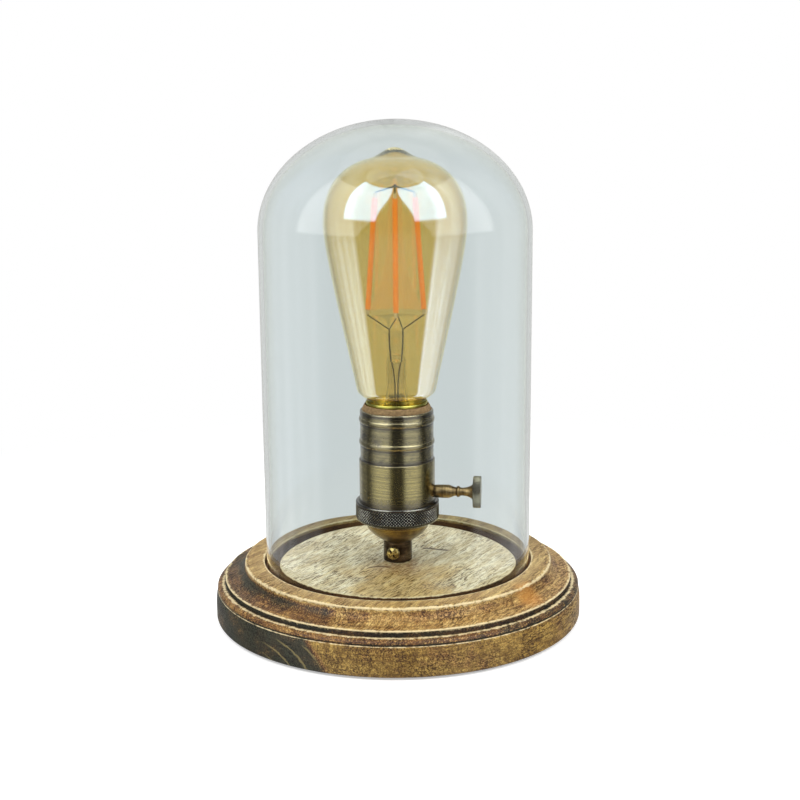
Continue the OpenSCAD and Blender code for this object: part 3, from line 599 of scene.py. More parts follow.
        # painted shade in the recess under the lip, darkened again in the list below
        recess = radius.band(78.0, 80.2, 0.4) * z.band(self.at.band_z - 0.1, self.at.lip_z - 0.7, 0.3)
        for share, factor in (
            (stipple.smooth(0.55, 0.63) * outside * 0.5, (1.4, 1.36, 1.3)),
            (stipple.smooth(0.52, 0.40) * (0.14 + outside * 0.7), (0.42, 0.36, 0.30)),
            (lathe.smooth(0.5, 0.64) * outside * 0.65, (0.5, 0.40, 0.32)),
            (fibre.noise(0.9, 3.0, 0.7).smooth(0.53, 0.62) * 0.35, (1.24, 1.22, 1.16)),
            (pores * 0.95, (0.18, 0.13, 0.09)),
            (recess * 0.75, (0.34, 0.28, 0.24)),
        ):
            tone = tone.scaled(share, factor)
        tone = self.scars(graph, place, tone, z)

        # the edges that handling has rubbed bright, with a painted highlight along them
        rub = place.noise(0.5, 3.0, 0.65) - 0.45
        bright = [
            (graph.join(radius - r, z - height).length() + rub * width * 2.6).smooth(width, width * 0.3)
            for r, height, width in self.edges
        ]
        worn = reduce(lambda most, edge: most.apply("MAXIMUM", edge), bright)
        tone = graph.mix(outside, tone * (1.0, 1.0, 0.96), tone * (0.98, 0.96, 0.80))
        height = streak * 0.35 - pores + year * 0.15 + stipple * 0.6 + lathe * 0.3
        return {
            "Base Color": tone.mix(worn * 0.85, srgb(228, 210, 164)),
            "Roughness": 0.42 + pores * 0.25 + scorch_and_shade.smooth(0.3, 0.9) * 0.12,
            "Specular IOR Level": 0.35,
            "Coat Weight": 0.15,
            "Coat Roughness": 0.3,
            "Normal": graph.bump(height, 0.16),
        }


# ---- meshes ----


def arc(x: float, y: float, r: float, start: float, end: float, count: int) -> list[Point]:
    """Points of an arc.

    Args:
        x: Radius of the arc's centre.
        y: Height of the arc's centre.
        r: Radius of the arc.
        start: First angle in degrees.
        end: Last angle in degrees.
        count: How many steps it takes.

    Returns:
        The points from start to end.
    """
    turns = [math.radians(start + (end - start) * i / count) for i in range(count + 1)]
    return [(x + r * math.cos(t), y + r * math.sin(t)) for t in turns]


def bend(p: Point, q: Point, r: Point, s: Point, count: int) -> list[Point]:
    """Points of a smooth curve that leaves p towards q and arrives at s from r."""
    points = []
    for i in range(count + 1):
        t = i / count
        u = 1 - t
        pulls = list(zip((u * u * u, 3 * u * u * t, 3 * u * t * t, t * t * t), (p, q, r, s), strict=True))
        points.append(tuple(sum(weight * corner[k] for weight, corner in pulls) for k in (0, 1)))
    return points


def inset(points: Sequence[Point], depth: float) -> list[Point]:
    """The same points closer to the axis."""
    return [(r - depth, z) for r, z in points]


@dataclass
class Piece:
    """One finished mesh: its name, body and finish, and the CAD nodes that it stands for."""

    name: str
    body: Body
    finish: Finish
    nodes: tuple[str, ...]
    sharp: float = 40.0

    def make(self, shape: bmesh.types.BMesh) -> None:
        """Args:
            shape: The piece's shape in metres, in its place. It is freed.
        """
        mesh = bpy.data.meshes.new(self.name)
        shape.to_mesh(mesh)
        shape.free()
        mesh.shade_smooth()
        mesh.set_sharp_from_angle(angle=math.radians(self.sharp))
        made = bpy.data.objects.new(self.name, mesh)
        bpy.context.scene.collection.objects.link(made)
        mesh.materials.append(self.finish.material())
        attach(made, self.body.value)
        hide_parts(*self.nodes)
        LOG.info("%s: %d faces on %s", self.name, len(mesh.polygons), self.body.value)


def dress(node: str, finish: Finish) -> None:
    """Gives a CAD node that stays its finish."""
    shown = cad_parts[node]
    if not shown.material_slots:
        shown.data.materials.append(finish.material())
    for slot in shown.material_slots:
        slot.material = finish.material()
    LOG.info("%s: dressed in %s", node, finish.name)


KNOB_Z = 57.7
CORD_Z = 7.2


def laid(axis: Axis) -> Matrix:
    """The turn and shift, in metres, from the lamp's axis to another axis."""
    if axis is Axis.KNOB:
        return Matrix.Translation((0, 0, KNOB_Z * MM)) @ Matrix.Rotation(math.pi / 2, 4, "Y")
    if axis is Axis.CORD:
        return Matrix.Translation((0, 0, CORD_Z * MM)) @ Matrix.Rotation(-math.pi / 2, 4, "X")
    return Matrix.Identity(4)


def turned(
    outline: Sequence[Point], steps: int = 160, axis: Axis = Axis.LAMP, closed: bool = True
) -> bmesh.types.BMesh:
    """Turns an outline round an axis.

    Args:
        outline: Points of radius and height, in millimetres.
        steps: How many faces go round.
        axis: The line it turns round.
        closed: True if the outline's end joins its start. One that starts and ends on the axis is open.

    Returns:
        The turned shape in metres, with its faces pointing outwards.
    """
    shape = bmesh.new()
    corners = [shape.verts.new((r * MM, 0.0, z * MM)) for r, z in outline]
    ends = zip(corners, corners[1:] + corners[:1], strict=True)
    edges = [shape.edges.new(pair) for pair in list(ends)[: None if closed else -1]]
    bmesh.ops.spin(
        shape, geom=corners + edges, cent=(0, 0, 0), axis=(0, 0, 1), angle=FULL, steps=steps, use_merge=True
    )
    bmesh.ops.remove_doubles(shape, verts=shape.verts, dist=1e-6)
    bmesh.ops.recalc_face_normals(shape, faces=shape.faces)
    bmesh.ops.transform(shape, matrix=laid(axis), verts=shape.verts)
    return shape


def knurl(shape: bmesh.types.BMesh, rows: Sequence[float], steps: int, radius: float, depth: float) -> None:
    """Cuts diamonds into the rows of a turned shape that is still on the lamp's axis.

    Args:
        shape: The turned shape in metres.
        rows: Heights of the knurled rows in millimetres, half a diamond apart.
        steps: How many faces go round. It is even.
        radius: Radius of the rows in millimetres.
        depth: Depth of the cuts in millimetres.
    """
    cut = set()
    for vert in shape.verts:
        r = math.hypot(vert.co.x, vert.co.y)
        row = next((i for i, z in enumerate(rows) if abs(vert.co.z - z * MM) < 1e-6), None)
        if row is None or abs(r - radius * MM) > 2e-5:
            continue
        column = round(math.atan2(vert.co.y, vert.co.x) / FULL * steps)
        cut.add(vert)
        if (column + row) % 2:
            share = 1 - depth * MM / r
            vert.co.x *= share
            vert.co.y *= share
    faces = [f for f in shape.faces if all(v in cut for v in f.verts)]
    bmesh.ops.triangulate(shape, faces=faces, quad_method="SHORT_EDGE")


def wire(points: Sequence[Spot], radius: float, sides: int = 10) -> bmesh.types.BMesh:
    """A round wire through points in millimetres, with closed ends."""
    curve = bpy.data.curves.new("wire", "CURVE")
    curve.dimensions = "3D"
    curve.bevel_depth = radius * MM
    curve.bevel_resolution = max(1, sides // 4)
    curve.use_fill_caps = True
    spline = curve.splines.new("POLY")
    spline.points.add(len(points) - 1)
    for point, at in zip(spline.points, points, strict=True):
        point.co = (*(c * MM for c in at), 1.0)
    holder = bpy.data.objects.new("wire", curve)
    mesh = bpy.data.meshes.new_from_object(holder)
    shape = bmesh.new()
    shape.from_mesh(mesh)
    bmesh.ops.recalc_face_normals(shape, faces=shape.faces)
    bpy.data.objects.remove(holder)
    bpy.data.curves.remove(curve)
    bpy.data.meshes.remove(mesh)
    return shape


def spun(shape: bmesh.types.BMesh, degrees: float) -> None:
    """Turns a shape round the lamp's axis."""
    turn = Matrix.Rotation(math.radians(degrees), 3, "Z")
    bmesh.ops.rotate(shape, cent=(0, 0, 0), matrix=turn, verts=shape.verts)


def joined(shapes: Sequence[bmesh.types.BMesh]) -> bmesh.types.BMesh:
    """Puts several shapes into one and frees them."""
    whole = bmesh.new()
    for shape in shapes:
        mesh = bpy.data.meshes.new("part")
        shape.to_mesh(mesh)
        shape.free()
        whole.from_mesh(mesh)
        bpy.data.meshes.remove(mesh)
    return whole


def cut_away(shape: bmesh.types.BMesh, cutters: Sequence[bmesh.types.BMesh]) -> bmesh.types.BMesh:
    """Takes cutters out of a shape with exact booleans.

    Args:
        shape: The shape to cut. It is freed.
        cutters: Closed shapes, each freed too.

    Returns:
        The shape that is left.
    """
    meshes = []
    for solid in (shape, *cutters):
        meshes.append(bpy.data.meshes.new("cut"))
        solid.to_mesh(meshes[-1])
        solid.free()
    things = [bpy.data.objects.new("cut", mesh) for mesh in meshes]
    for thing in things:
        bpy.context.scene.collection.objects.link(thing)
    for cutter in things[1:]:
        modifier = things[0].modifiers.new("cut", "BOOLEAN")
        modifier.operation, modifier.object, modifier.solver = "DIFFERENCE", cutter, "EXACT"
    left = bpy.data.meshes.new_from_object(things[0].evaluated_get(bpy.context.evaluated_depsgraph_get()))
    result = bmesh.new()
    result.from_mesh(left)
    for thing in things:
        bpy.data.objects.remove(thing)
    for mesh in (*meshes, left):
        bpy.data.meshes.remove(mesh)
    return result


# ---- studio ----


@dataclass(frozen=True)
class Studio:
    """Camera, floor, lamps and the world that metal and glass mirror.

    A direction in the world is an angle, in degrees to the right of the camera's side, and a rise in
    degrees.
    """

    azimuth: float = 6.5
    distance: float = 600.0
    eye_z: float = 224.5
    lens: float = 60.6
    pitch: float = 11.717
    yaw: float = 0.149
    roll: float = -0.45
    lamp_power: float = 11.0
    ambient: float = 0.62
    box: float = 3.4
    low: float = 0.95
    glass_box: float = 6.0
    glass_side: float = 2.0
    bulb_faces: int = 4
    cream: Colour = (1.0, 1.0, 0.98)
    white: Colour = (1.0, 1.0, 1.0)

    def camera(self) -> None:
        """Makes the camera at the photograph's viewing angle."""
        a, yaw, pitch, roll = (math.radians(v) for v in (self.azimuth, self.yaw, self.pitch, self.roll))
        right = Vector((math.cos(a), math.sin(a), 0))
        ahead = Vector((-math.sin(a), math.cos(a), 0))
        look = ahead * math.cos(yaw) * math.cos(pitch) + right * math.sin(yaw) * math.cos(pitch)
        look.z = -math.sin(pitch)
        side = look.cross(Vector((0, 0, 1))).normalized()
        up = side.cross(look)
        tilted_side = side * math.cos(roll) + up * math.sin(roll)
        tilted_up = up * math.cos(roll) - side * math.sin(roll)
        data = bpy.data.cameras.new("camera")
        data.lens, data.sensor_width, data.clip_start, data.clip_end = self.lens, 36.0, 0.01, 50.0
        seen_from = bpy.data.objects.new("camera", data)
        turn = Matrix((tilted_side, tilted_up, -look)).transposed().to_4x4()
        spot = -ahead * self.distance
        seen_from.matrix_world = Matrix.Translation((spot.x * MM, spot.y * MM, self.eye_z * MM)) @ turn
        bpy.context.scene.collection.objects.link(seen_from)
        bpy.context.scene.camera = seen_from

    def metal_mirror(self, angle: Wire, rise: Wire) -> Wire:
        """What blurred metal mirrors: windows at both sides, light from above and from behind the lamp."""
        wide = abs(angle)
        high = rise.band(8.0, 76.0, 3.0)
        low = rise.smooth(11.0, 3.0)
        windows = angle.smooth(-100.0, -58.0) * angle.smooth(-13.0, -32.0)
        windows = windows + angle.smooth(15.0, 31.0) * angle.smooth(90.0, 60.0)
        above = rise.band(36.0, 84.0, 8.0) * wide.smooth(100.0, 70.0)
        back = wide.smooth(96.0, 110.0) * 0.22 + wide.smooth(128.0, 142.0) * 0.35
        return 0.05 + windows * (high * self.box + low * self.low) + back + above * 1.3

    def glass_mirror(self, graph: Graph, angle: Wire, rise: Wire, faces: Wire) -> Wire:
        """What smooth glass mirrors: soft boxes in front, streaky sides, and other tones for the bulb.

        Args:
            graph: The world's graph.
            angle: Degrees to the right of the camera's side.
            rise: Degrees above level.
            faces: How many glass faces the ray has gone through.

        Returns:
            The colour.
        """
        wide = abs(angle)
        on_bulb, in_bulb = faces.reached(self.bulb_faces), faces.reached(self.bulb_faces + 1)
        gap = rise.smooth(-2.0, 52.0, 31.0, 6.0)
        boxes = (wide - gap).smooth(-1.5, 1.5) * wide.smooth(90.0, 87.0) * rise.band(2.5, 57.0, 1.5)
        boxes = boxes * graph.mix(on_bulb, self.cream, (0.51, 0.75, 1.04)) * self.glass_box

        # the sides, with an edge below
        streaks = graph.join(angle * 0.11, rise * 0.006).noise(1.0, 3.0, 0.7)
        behind = wide.smooth(138.0, 104.0, 0.36, 1.0).apply("MAXIMUM", rise.smooth(15.0, 50.0, 0.0, 0.6))
        sides = wide.smooth(62.0, 74.0) * behind * (0.25 + streaks * 1.5)
        sides = sides * rise.smooth(66.0, 36.0, 0.35, 1.0) * rise.smooth(-12.0, -38.0, 1.0, 1.8)
        edge = wide.band(69.0, 75.0, 2.0) * rise.smooth(2.0, -2.0)
        mirror = 0.05 + rise.smooth(57.0, 62.0) * 0.9 + sides * self.glass_side + edge * 0.8
        veil = graph.mix(rise.smooth(-2.0, -22.0), (0.94, 0.98, 1.12), (0.95, 1.04, 1.28))
        veil = veil * graph.mix(angle.smooth(-30.0, 30.0), (0.86, 0.82, 0.70), self.white)
        mirror = mirror * graph.mix(on_bulb, self.cream, veil) + boxes

        # the inside of the bulb, and the outline of its glass
        inner = graph.mix(streaks, (0.5, 0.52, 0.45), (1.5, 1.56, 1.35))
        inner = inner * graph.mix(rise.smooth(0.0, -24.0), (0.76, 0.73, 0.66), (1.12, 1.2, 1.6))
        inner = inner * graph.mix(rise.smooth(16.0, 40.0), self.white, (1.26, 1.3, 1.42))
        return mirror.mix(in_bulb, inner).mix(on_bulb * wide.smooth(140.0, 156.0), (1.05, 1.0, 0.82))

    def world(self) -> None:
        """White to the camera and through glass, plain to matt surfaces and a studio to mirrors."""
        world = bpy.data.worlds.new("studio")
        world.use_nodes = True
        bpy.context.scene.world = world
        graph = Graph(world.node_tree)
        a = math.radians(self.azimuth)
        way = graph.add("ShaderNodeTexCoord").out("Generated")
        aside = way.dot((math.cos(a), math.sin(a), 0.0))
        towards = way.dot((math.sin(a), -math.cos(a), 0.0))
        angle = aside.apply("ARCTAN2", towards) * DEGREES
        rise = graph.parts(way)[2].apply("ARCSINE") * DEGREES
        rays = graph.add("ShaderNodeLightPath")
        glass = self.glass_mirror(graph, angle, rise, rays.out("Transmission Depth"))
        mirrored = graph.mix(rays.out("Is Singular Ray"), self.metal_mirror(angle, rise), glass)
        matt = graph.mix(rays.out("Diffuse Depth").reached(1), self.white, (self.ambient,) * 3)
        light = matt.mix(rays.out("Glossy Depth").reached(1), mirrored)
        graph.shader("OutputWorld", Surface=graph.shader("Background", Color=light))
        world.cycles.sampling_method = "NONE"

    def lamp(self, name: str, azimuth: float, height: float, away: float, power: float) -> None:
        """Hangs a soft lamp that shines at the lamp's middle and doesn't show in mirrors.

        Args:
            name: Name of the lamp.
            azimuth: Its side in degrees from the camera, positive to the right.
            height: Its height in metres.
            away: Its distance from the axis in metres.
            power: Its power in watts.
        """
        data = bpy.data.lights.new(name, "AREA")
        data.shape, data.size, data.energy = "DISK", 0.9, power
        a = math.radians(self.azimuth + azimuth)
        spot = Vector((math.sin(a) * away, -math.cos(a) * away, height))
        aim = (Vector((0, 0, 0.1)) - spot).to_track_quat("-Z", "Y")
        hung = bpy.data.objects.new(name, data)
        hung.matrix_world = Matrix.Translation(spot) @ aim.to_matrix().to_4x4()
        hung.visible_glossy = hung.visible_transmission = hung.visible_camera = False
        bpy.context.scene.collection.objects.link(hung)

    def floor(self) -> None:
        """Lays a pale floor that keeps the lamp's shadow and fades to white."""
        shape = bmesh.new()
        bmesh.ops.create_grid(shape, x_segments=1, y_segments=1, size=4.0)
        mesh = bpy.data.meshes.new("floor")
        shape.to_mesh(mesh)
        shape.free()
        ground = bpy.data.objects.new("floor", mesh)
        bpy.context.scene.collection.objects.link(ground)
        paint = bpy.data.materials.new("floor_white")
        paint.use_nodes = True
        graph = Graph(paint.node_tree)
        far = graph.place().length().smooth(120.0, 420.0)
        seen = graph.add("ShaderNodeLightPath").out("Is Camera Ray")
        card = graph.shader("BsdfDiffuse", Color=(0.8, 0.8, 0.8))
        glow = graph.shader("Emission", Color=self.white, Strength=0.42)
        near = graph.add("ShaderNodeAddShader", None, {0: card, 1: glow})
        bright = graph.shader("Emission", Color=self.white, Strength=1.0)
        graph.shader("OutputMaterial", Surface=graph.switch(seen, card, graph.switch(far, near, bright)))
        mesh.materials.append(paint)
        ground.visible_glossy = ground.visible_transmission = False

    def build(self) -> None:
        """Sets up the whole studio."""
        self.camera()
        self.world()
        self.floor()
        self.lamp("lamp_left", -48.0, 1.15, 1.0, self.lamp_power * 1.15)
        self.lamp("lamp_right", 52.0, 1.05, 1.0, self.lamp_power)
        self.lamp("lamp_back", 175.0, 1.2, 0.9, self.lamp_power * 0.5)
        bpy.context.scene.view_settings.view_transform = "Standard"


# ---- the lamp ----


ZINC = Metal("zinc_plate", "zinc_steel", srgb(205, 208, 206), srgb(140, 142, 140), 0.3, age=0.3)


@dataclass(frozen=True)
class WoodenBase:
    """The turned wooden base with its hollow, nipple, felt and cord bushing."""

    wood: Finish = ScorchedWood("scorched_wood", "wood")
    felt: Finish = Plain("dense_felt", "felt", srgb(62, 74, 62), srgb(84, 96, 80), 0.95, 2.0, 0.2)
    plastic: Finish = Plain(
        "bushing_black", "bushing_plastic", srgb(30, 30, 31), srgb(44, 44, 45), 0.55, 1.5, 0.03
    )
    brass: Finish = Metal("machined_brass", "nipple_brass", srgb(214, 178, 106), srgb(140, 104, 52), 0.25)
    at: Steps = Steps()
    hollow_z: float = 12.6
    hollow_r: float = 26.0
    bore_r: float = 5.2
    felt_t: float = 1.0

    def outline(self) -> list[Point]:
        """Outline of the base from the hollow's edge outwards, over the top and back down the bore."""
        at, edge = self.at, 0.45
        return [
            (self.hollow_r, self.felt_t),
            (60.0, self.felt_t),
            *arc(at.drum_r - 1.6, self.felt_t + 1.6, 1.6, -90, -8, 8),
            *bend((at.drum_r, 7.2), (at.drum_r, 12.0), (at.drum_top_r + 0.35, 13.4),
                  (at.drum_top_r, at.drum_z), 12),
            *bend((at.drum_top_r - 0.35, at.drum_z + 0.12), (at.drum_r - 0.1, 15.1),
                  (at.drum_r - 0.9, 17.2), (at.band_r, at.band_z), 14),
            (79.35, at.band_z + 0.2),
            (79.3, at.band_z + 0.6),
            (79.3, at.lip_z - 0.8),
            *arc(at.lip_r - 0.35, at.lip_z - 0.35, 0.35, -60, 90, 6),
            *bend((at.lip_r - 1, at.lip_z), (at.lip_r - 5.0, at.lip_z + 0.22), (at.flat_r + 0.6, 21.1),
                  (at.flat_r - 0.2, 25.6), 22),
            *arc(at.flat_r - 1.0, at.ring_z - 1.0, 1.0, 10, 90, 8),
            *arc(at.groove_r + edge, at.ring_z - edge, edge, 90, 180, 5),
            *arc(at.groove_r - 0.6, at.floor_z + 0.6, 0.6, 0, -90, 4),
            *arc(at.disc_r + 0.6, at.floor_z + 0.6, 0.6, -90, -180, 4),
            *arc(at.disc_r - edge, at.disc_z - edge, edge, 0, 90, 5),
            (30.0, at.disc_z),
            (self.bore_r, at.disc_z),
            (self.bore_r, self.hollow_z),
            (self.hollow_r, self.hollow_z),
        ]

    def build(self) -> None:
        """Makes the base and dresses what is in it."""
        block = turned(self.outline(), 288)
        for vert in block.verts:
            way = vert.co * 55
            vert.co += Vector((vert.co.x, vert.co.y, 0)).normalized() * noise.noise(way) * 0.07 * MM
        channel = turned([(0, 20), (4.6, 20), (4.6, 90), (0, 90)], 64, Axis.CORD, closed=False)
        recess = turned([(0, 81.35), (5.6, 81.35), (5.6, 90), (0, 90)], 64, Axis.CORD, closed=False)
        shape = cut_away(block, [channel, recess])
        Piece("turned_base", Body.BASE, self.wood, ("wooden_base",), 32.0).make(shape)
        dress("felt_pad", self.felt)
        dress("cord_bushing", self.plastic)
        dress("threaded_nipple", self.brass)
        dress("nipple_washer", ZINC)
        dress("nipple_nut", ZINC)


@dataclass(frozen=True)
class Lampholder:
    """The brass lampholder from its collar up to the fibre rim."""

    brass: Finish = Metal(
        "aged_brass", "aged_brass", srgb(186, 168, 98), srgb(104, 92, 64), 0.2, 0.75, 0.03, 0.14,
        seams=((53.2, 6.0), (73.6, 1.6)), coat=0.8,
    )
    sleeve_brass: Finish = Metal(
        "sleeve_brass", "aged_brass", srgb(164, 150, 100), srgb(88, 78, 58), 0.2, 0.75, 0.03, 0.26,
        seams=((73.4, 2.6), (79.5, 0.9), (90.0, 0.9), (94.9, 1.5)), coat=0.9,
    )
    # a darker copy of the body's aged brass: painted shade on the downward-facing bowl, with more patches of
    # age
    bowl_brass_in_shade: Finish = Metal(
        "bowl_brass_in_shade", "aged_brass", srgb(130, 107, 46), srgb(74, 58, 24), 0.26, 1.1, 0.015, 0.35,
        seams=((34.5, 1.8), (43.6, 1.0)), coat=0.3,
    )
    black: Finish = Metal(
        "black_brass", "dark_brass", srgb(140, 136, 128), srgb(20, 18, 16), 0.13, 1.0, 0.004, 0.15,
        seams=((52.3, 0.5), (44.8, 1.6)), coat=0.2, cuts=(19.3, 0.45),
    )
    bronze: Finish = Metal(
        "dark_bronze", "bronze", srgb(104, 90, 74), srgb(48, 38, 30), 0.22, 1.0, 0.02, 0.4,
        seams=((25.4, 1.5),),
    )
    screw: Finish = Metal(
        "bright_brass", "screw_brass", srgb(190, 172, 112), srgb(84, 68, 36), 0.18, 1.0, 0.01, 0.4
    )
    fibre: Finish = Plain("pressed_fibre", "fibre", srgb(164, 133, 92), srgb(102, 78, 52), 0.8, 2.0, 0.1)
    body_r: float = 17.4
    body_top: float = 73.2
    sleeve_r: float = 16.8
    sleeve_in: float = 16.0
    ring_r: float = 19.3
    knurl_steps: int = 170
    collar_turn: float = -10.0

    def collar(self) -> None:
        """Makes the collar under the cap, with its screw."""
        Piece("collar", Body.BASE, self.bronze, ("holder_collar",)).make(
            turned([(5.05, 25.45), (6.3, 25.45), (6.6, 25.75), (6.6, 34.75), (5.05, 34.75)], 96)
        )
        dome = [
            (0, 0), (3.0, 0), *arc(2.25, 0.75, 0.75, 0, 60, 5),
            *bend((2.3, 1.65), (1.7, 2.1), (0.9, 2.2), (0, 2.2), 8),
        ]
        head = turned(dome, 64, closed=False)
        shank = turned([(0, -1.6), (1.5, -1.6), (1.5, 0.3), (0, 0.3)], 48, closed=False)
        slots = []
        for turn in (0, 90):
            slot = bmesh.new()
            bmesh.ops.create_cube(slot, size=1.0)
            bmesh.ops.bevel(
                slot, geom=slot.edges, affect="EDGES", offset=0.12, segments=2, profile=0.5, material=-1
            )
            bmesh.ops.scale(slot, vec=(4.6 * MM, 1.05 * MM, 2.6 * MM), verts=slot.verts)
            bmesh.ops.translate(slot, vec=(0, 0, 2.1 * MM), verts=slot.verts)
            spun(slot, turn + 40)
            slots.append(slot)
        screw = joined([cut_away(head, slots), shank])
        lay = (
            Matrix.Rotation(math.radians(self.collar_turn), 4, "Z")
            @ Matrix.Translation((0, -6.65 * MM, 30.15 * MM))
            @ Matrix.Rotation(math.pi / 2, 4, "X")
        )
        bmesh.ops.transform(screw, matrix=lay, verts=screw.verts)
        Piece("cross_screw", Body.BASE, self.screw, ("collar_screw",)).make(screw)

    def cap(self) -> None:
        """Makes the bowl-shaped cap."""
        bowl = bend((6.6, 34.8), (9.4, 36.33), (14.2, 39.22), (14.9, 43.3), 26)
        under = bend((7.2, 37.0), (9.6, 37.86), (14.2, 40.07), (14.9, 43.6), 20)
        Piece("bowl", Body.BASE, self.bowl_brass_in_shade, ("holder_cap",)).make(turned([
            (5.05, 34.8), *bowl, (15.1, 43.6), (17.35, 45.15), (17.35, 47.6), (16.55, 47.6), (16.55, 45.7),
            (14.1, 44.1), *reversed(inset(under, 0.8)), (5.05, 37.0),
        ]))

    def ring(self) -> None:
        """Makes the ring with its diamond knurl and rolled lip."""
        rows = [46.35 + 0.69 * i for i in range(9)]
        outline = [
            (15.25, 43.0),
            *bend((17.2, 44.1), (18.3, 44.5), (19.0, 44.9), (19.1, 45.9), 8),
            *((self.ring_r, z) for z in rows),
            (18.95, 52.0),
            *arc(18.4, 52.75, 0.85, -50, 90, 12),
            (17.6, 53.55),
            (17.45, 53.3),
            (17.45, 45.0),
            (15.25, 43.5),
        ]
        shape = turned(outline, self.knurl_steps)
        knurl(shape, rows, self.knurl_steps, self.ring_r, 0.45)
        Piece("diamond_ring", Body.BASE, self.black, ("knurled_ring",), 28.0).make(shape)

    def shell(self) -> None:
        """Makes the body shell with its hole for the switch, the beaded sleeve and the fibre rim."""
        body = turned([
            (16.6, 47.7), (self.body_r, 47.7), (self.body_r, 55.0), (self.body_r, 66.0),
            *arc(self.body_r - 0.5, self.body_top - 0.5, 0.5, 0, 90, 6), (16.6, self.body_top),
        ], 200)
        hole = turned([(0, 5), (2.8, 5), (2.8, 30), (0, 30)], 48, Axis.KNOB, closed=False)
        Piece("body_shell", Body.BASE, self.brass, ("holder_body",)).make(cut_away(body, [hole]))
        beads = [
            point
            for z in (81.4, 91.8)
            for point in (
                (self.sleeve_r, z - 1.35),
                *bend((self.sleeve_r + 0.06, z - 1.15), (self.sleeve_r + 0.7, z - 1.0),
                      (self.sleeve_r + 0.7, z + 1.0), (self.sleeve_r + 0.06, z + 1.15), 14),
                (self.sleeve_r, z + 1.35),
            )
        ]
        Piece("beaded_sleeve", Body.BASE, self.sleeve_brass, ("holder_sleeve",)).make(turned([
            (self.sleeve_in, 64.5), (16.5, 64.5), (16.5, 73.25), (self.sleeve_r, 73.3), *beads,
            *arc(self.sleeve_r - 0.7, 95.5, 0.7, 0, 85, 6), (self.sleeve_in, 96.2),
        ], 200))
        Piece("fibre_rim", Body.BASE, self.fibre, ("fibre_liner",)).make(turned([
            (14.5, 64.5), (15.9, 64.5), (15.9, 96.2), (15.55, 97.1), (14.85, 98.5), (14.7, 98.7),
            (14.5, 98.7),
        ]))

    def build(self) -> None:
        """Makes the whole holder."""
        self.collar()
        self.cap()
        self.ring()
        self.shell()


@dataclass(frozen=True)
class Switch:
    """The turn knob with its barrel, shaft and cam."""

    barrel: Finish = Metal(
        "barrel_brass", "aged_brass", srgb(150, 130, 92), srgb(84, 70, 50), 0.3, 1.0, 0.01, 0.4, Axis.KNOB
    )
    bronze: Finish = Metal(
        "knob_bronze", "bronze", srgb(150, 130, 92), srgb(84, 68, 50), 0.3, 1.0, 0.01, 0.4, Axis.KNOB
    )
    disc: Finish = Metal(
        "knob_brass", "knob_brass", srgb(204, 202, 174), srgb(64, 60, 44), 0.26, 1.0, 0.01, 0.2, Axis.KNOB,
        cuts=(7.45, 0.42),
    )
    zinc: Finish = replace(ZINC, name="shaft_zinc", axis=Axis.KNOB)
    cam: Finish = Plain("cam_red", "cam_plastic", srgb(142, 62, 44), srgb(122, 50, 36), 0.4, 1.0, 0.02)
    steps: int = 88
    disc_r: float = 7.45
    cut: float = 0.42

    def build(self) -> None:
        """Makes the barrel, the stem and the knurled disc, and dresses the shaft and cam."""
        Piece("switch_barrel", Body.BASE, self.barrel, ("switch_bushing",)).make(turned([
            (1.55, 15.0), (4.0, 15.0), (4.0, 16.0), (2.7, 16.0), (2.7, 17.45), (2.85, 17.5), (3.0, 18.2),
            (3.1, 22.5), (2.95, 22.95), (1.55, 22.95),
        ], 72, Axis.KNOB))
        Piece("turned_stem", Body.KNOB, self.bronze, ("knob_stem",)).make(turned([
            (1.52, 23.0), (3.0, 23.0), *bend((3.1, 23.3), (3.1, 24.45), (2.23, 25.6), (1.92, 27.18), 12),
            *arc(1.72, 28.15, 0.85, -60, 60, 10),
            *bend((1.86, 29.48), (1.74, 31.25), (2.17, 33.35), (3.72, 34.95), 16), (3.72, 35.0), (0, 35.0),
            (0, 29.35), (1.52, 29.35),
        ], 72, Axis.KNOB))
        rows = [35.36 + 0.72 * i for i in range(5)]
        shape = turned([
            (0, 35.0), (7.05, 35.0), *((self.disc_r, z) for z in rows), (7.05, 38.6), (2.0, 38.6), (0, 38.6),
        ], self.steps, closed=False)
        knurl(shape, rows, self.steps, self.disc_r, self.cut)
        bmesh.ops.transform(shape, matrix=laid(Axis.KNOB), verts=shape.verts)
        Piece("knurled_disc", Body.KNOB, self.disc, ("knob_disc",), 28.0).make(shape)
        dress("switch_shaft", self.zinc)
        dress("switch_rotor", self.cam)


@dataclass(frozen=True)
class Socket:
    """The porcelain core and its contacts inside the holder."""

    porcelain: Finish = Plain(
        "porcelain", "porcelain", srgb(238, 234, 224), srgb(224, 218, 204), 0.6, 0.6, 0.03
    )
    brass: Finish = Metal(
        "sheet_brass", "contact_brass", srgb(226, 196, 130), srgb(180, 146, 82), 0.26, 1.5, 0.01, 0.35
    )

    def build(self) -> None:
        """Dresses the CAD nodes."""
        dress("socket_core", self.porcelain)
        for node in ("screw_shell", "centre_contact", "shell_strap", "switch_spring"):
            dress(node, self.brass)
        for node in ("core_screws", "terminal_screws"):
            dress(node, ZINC)


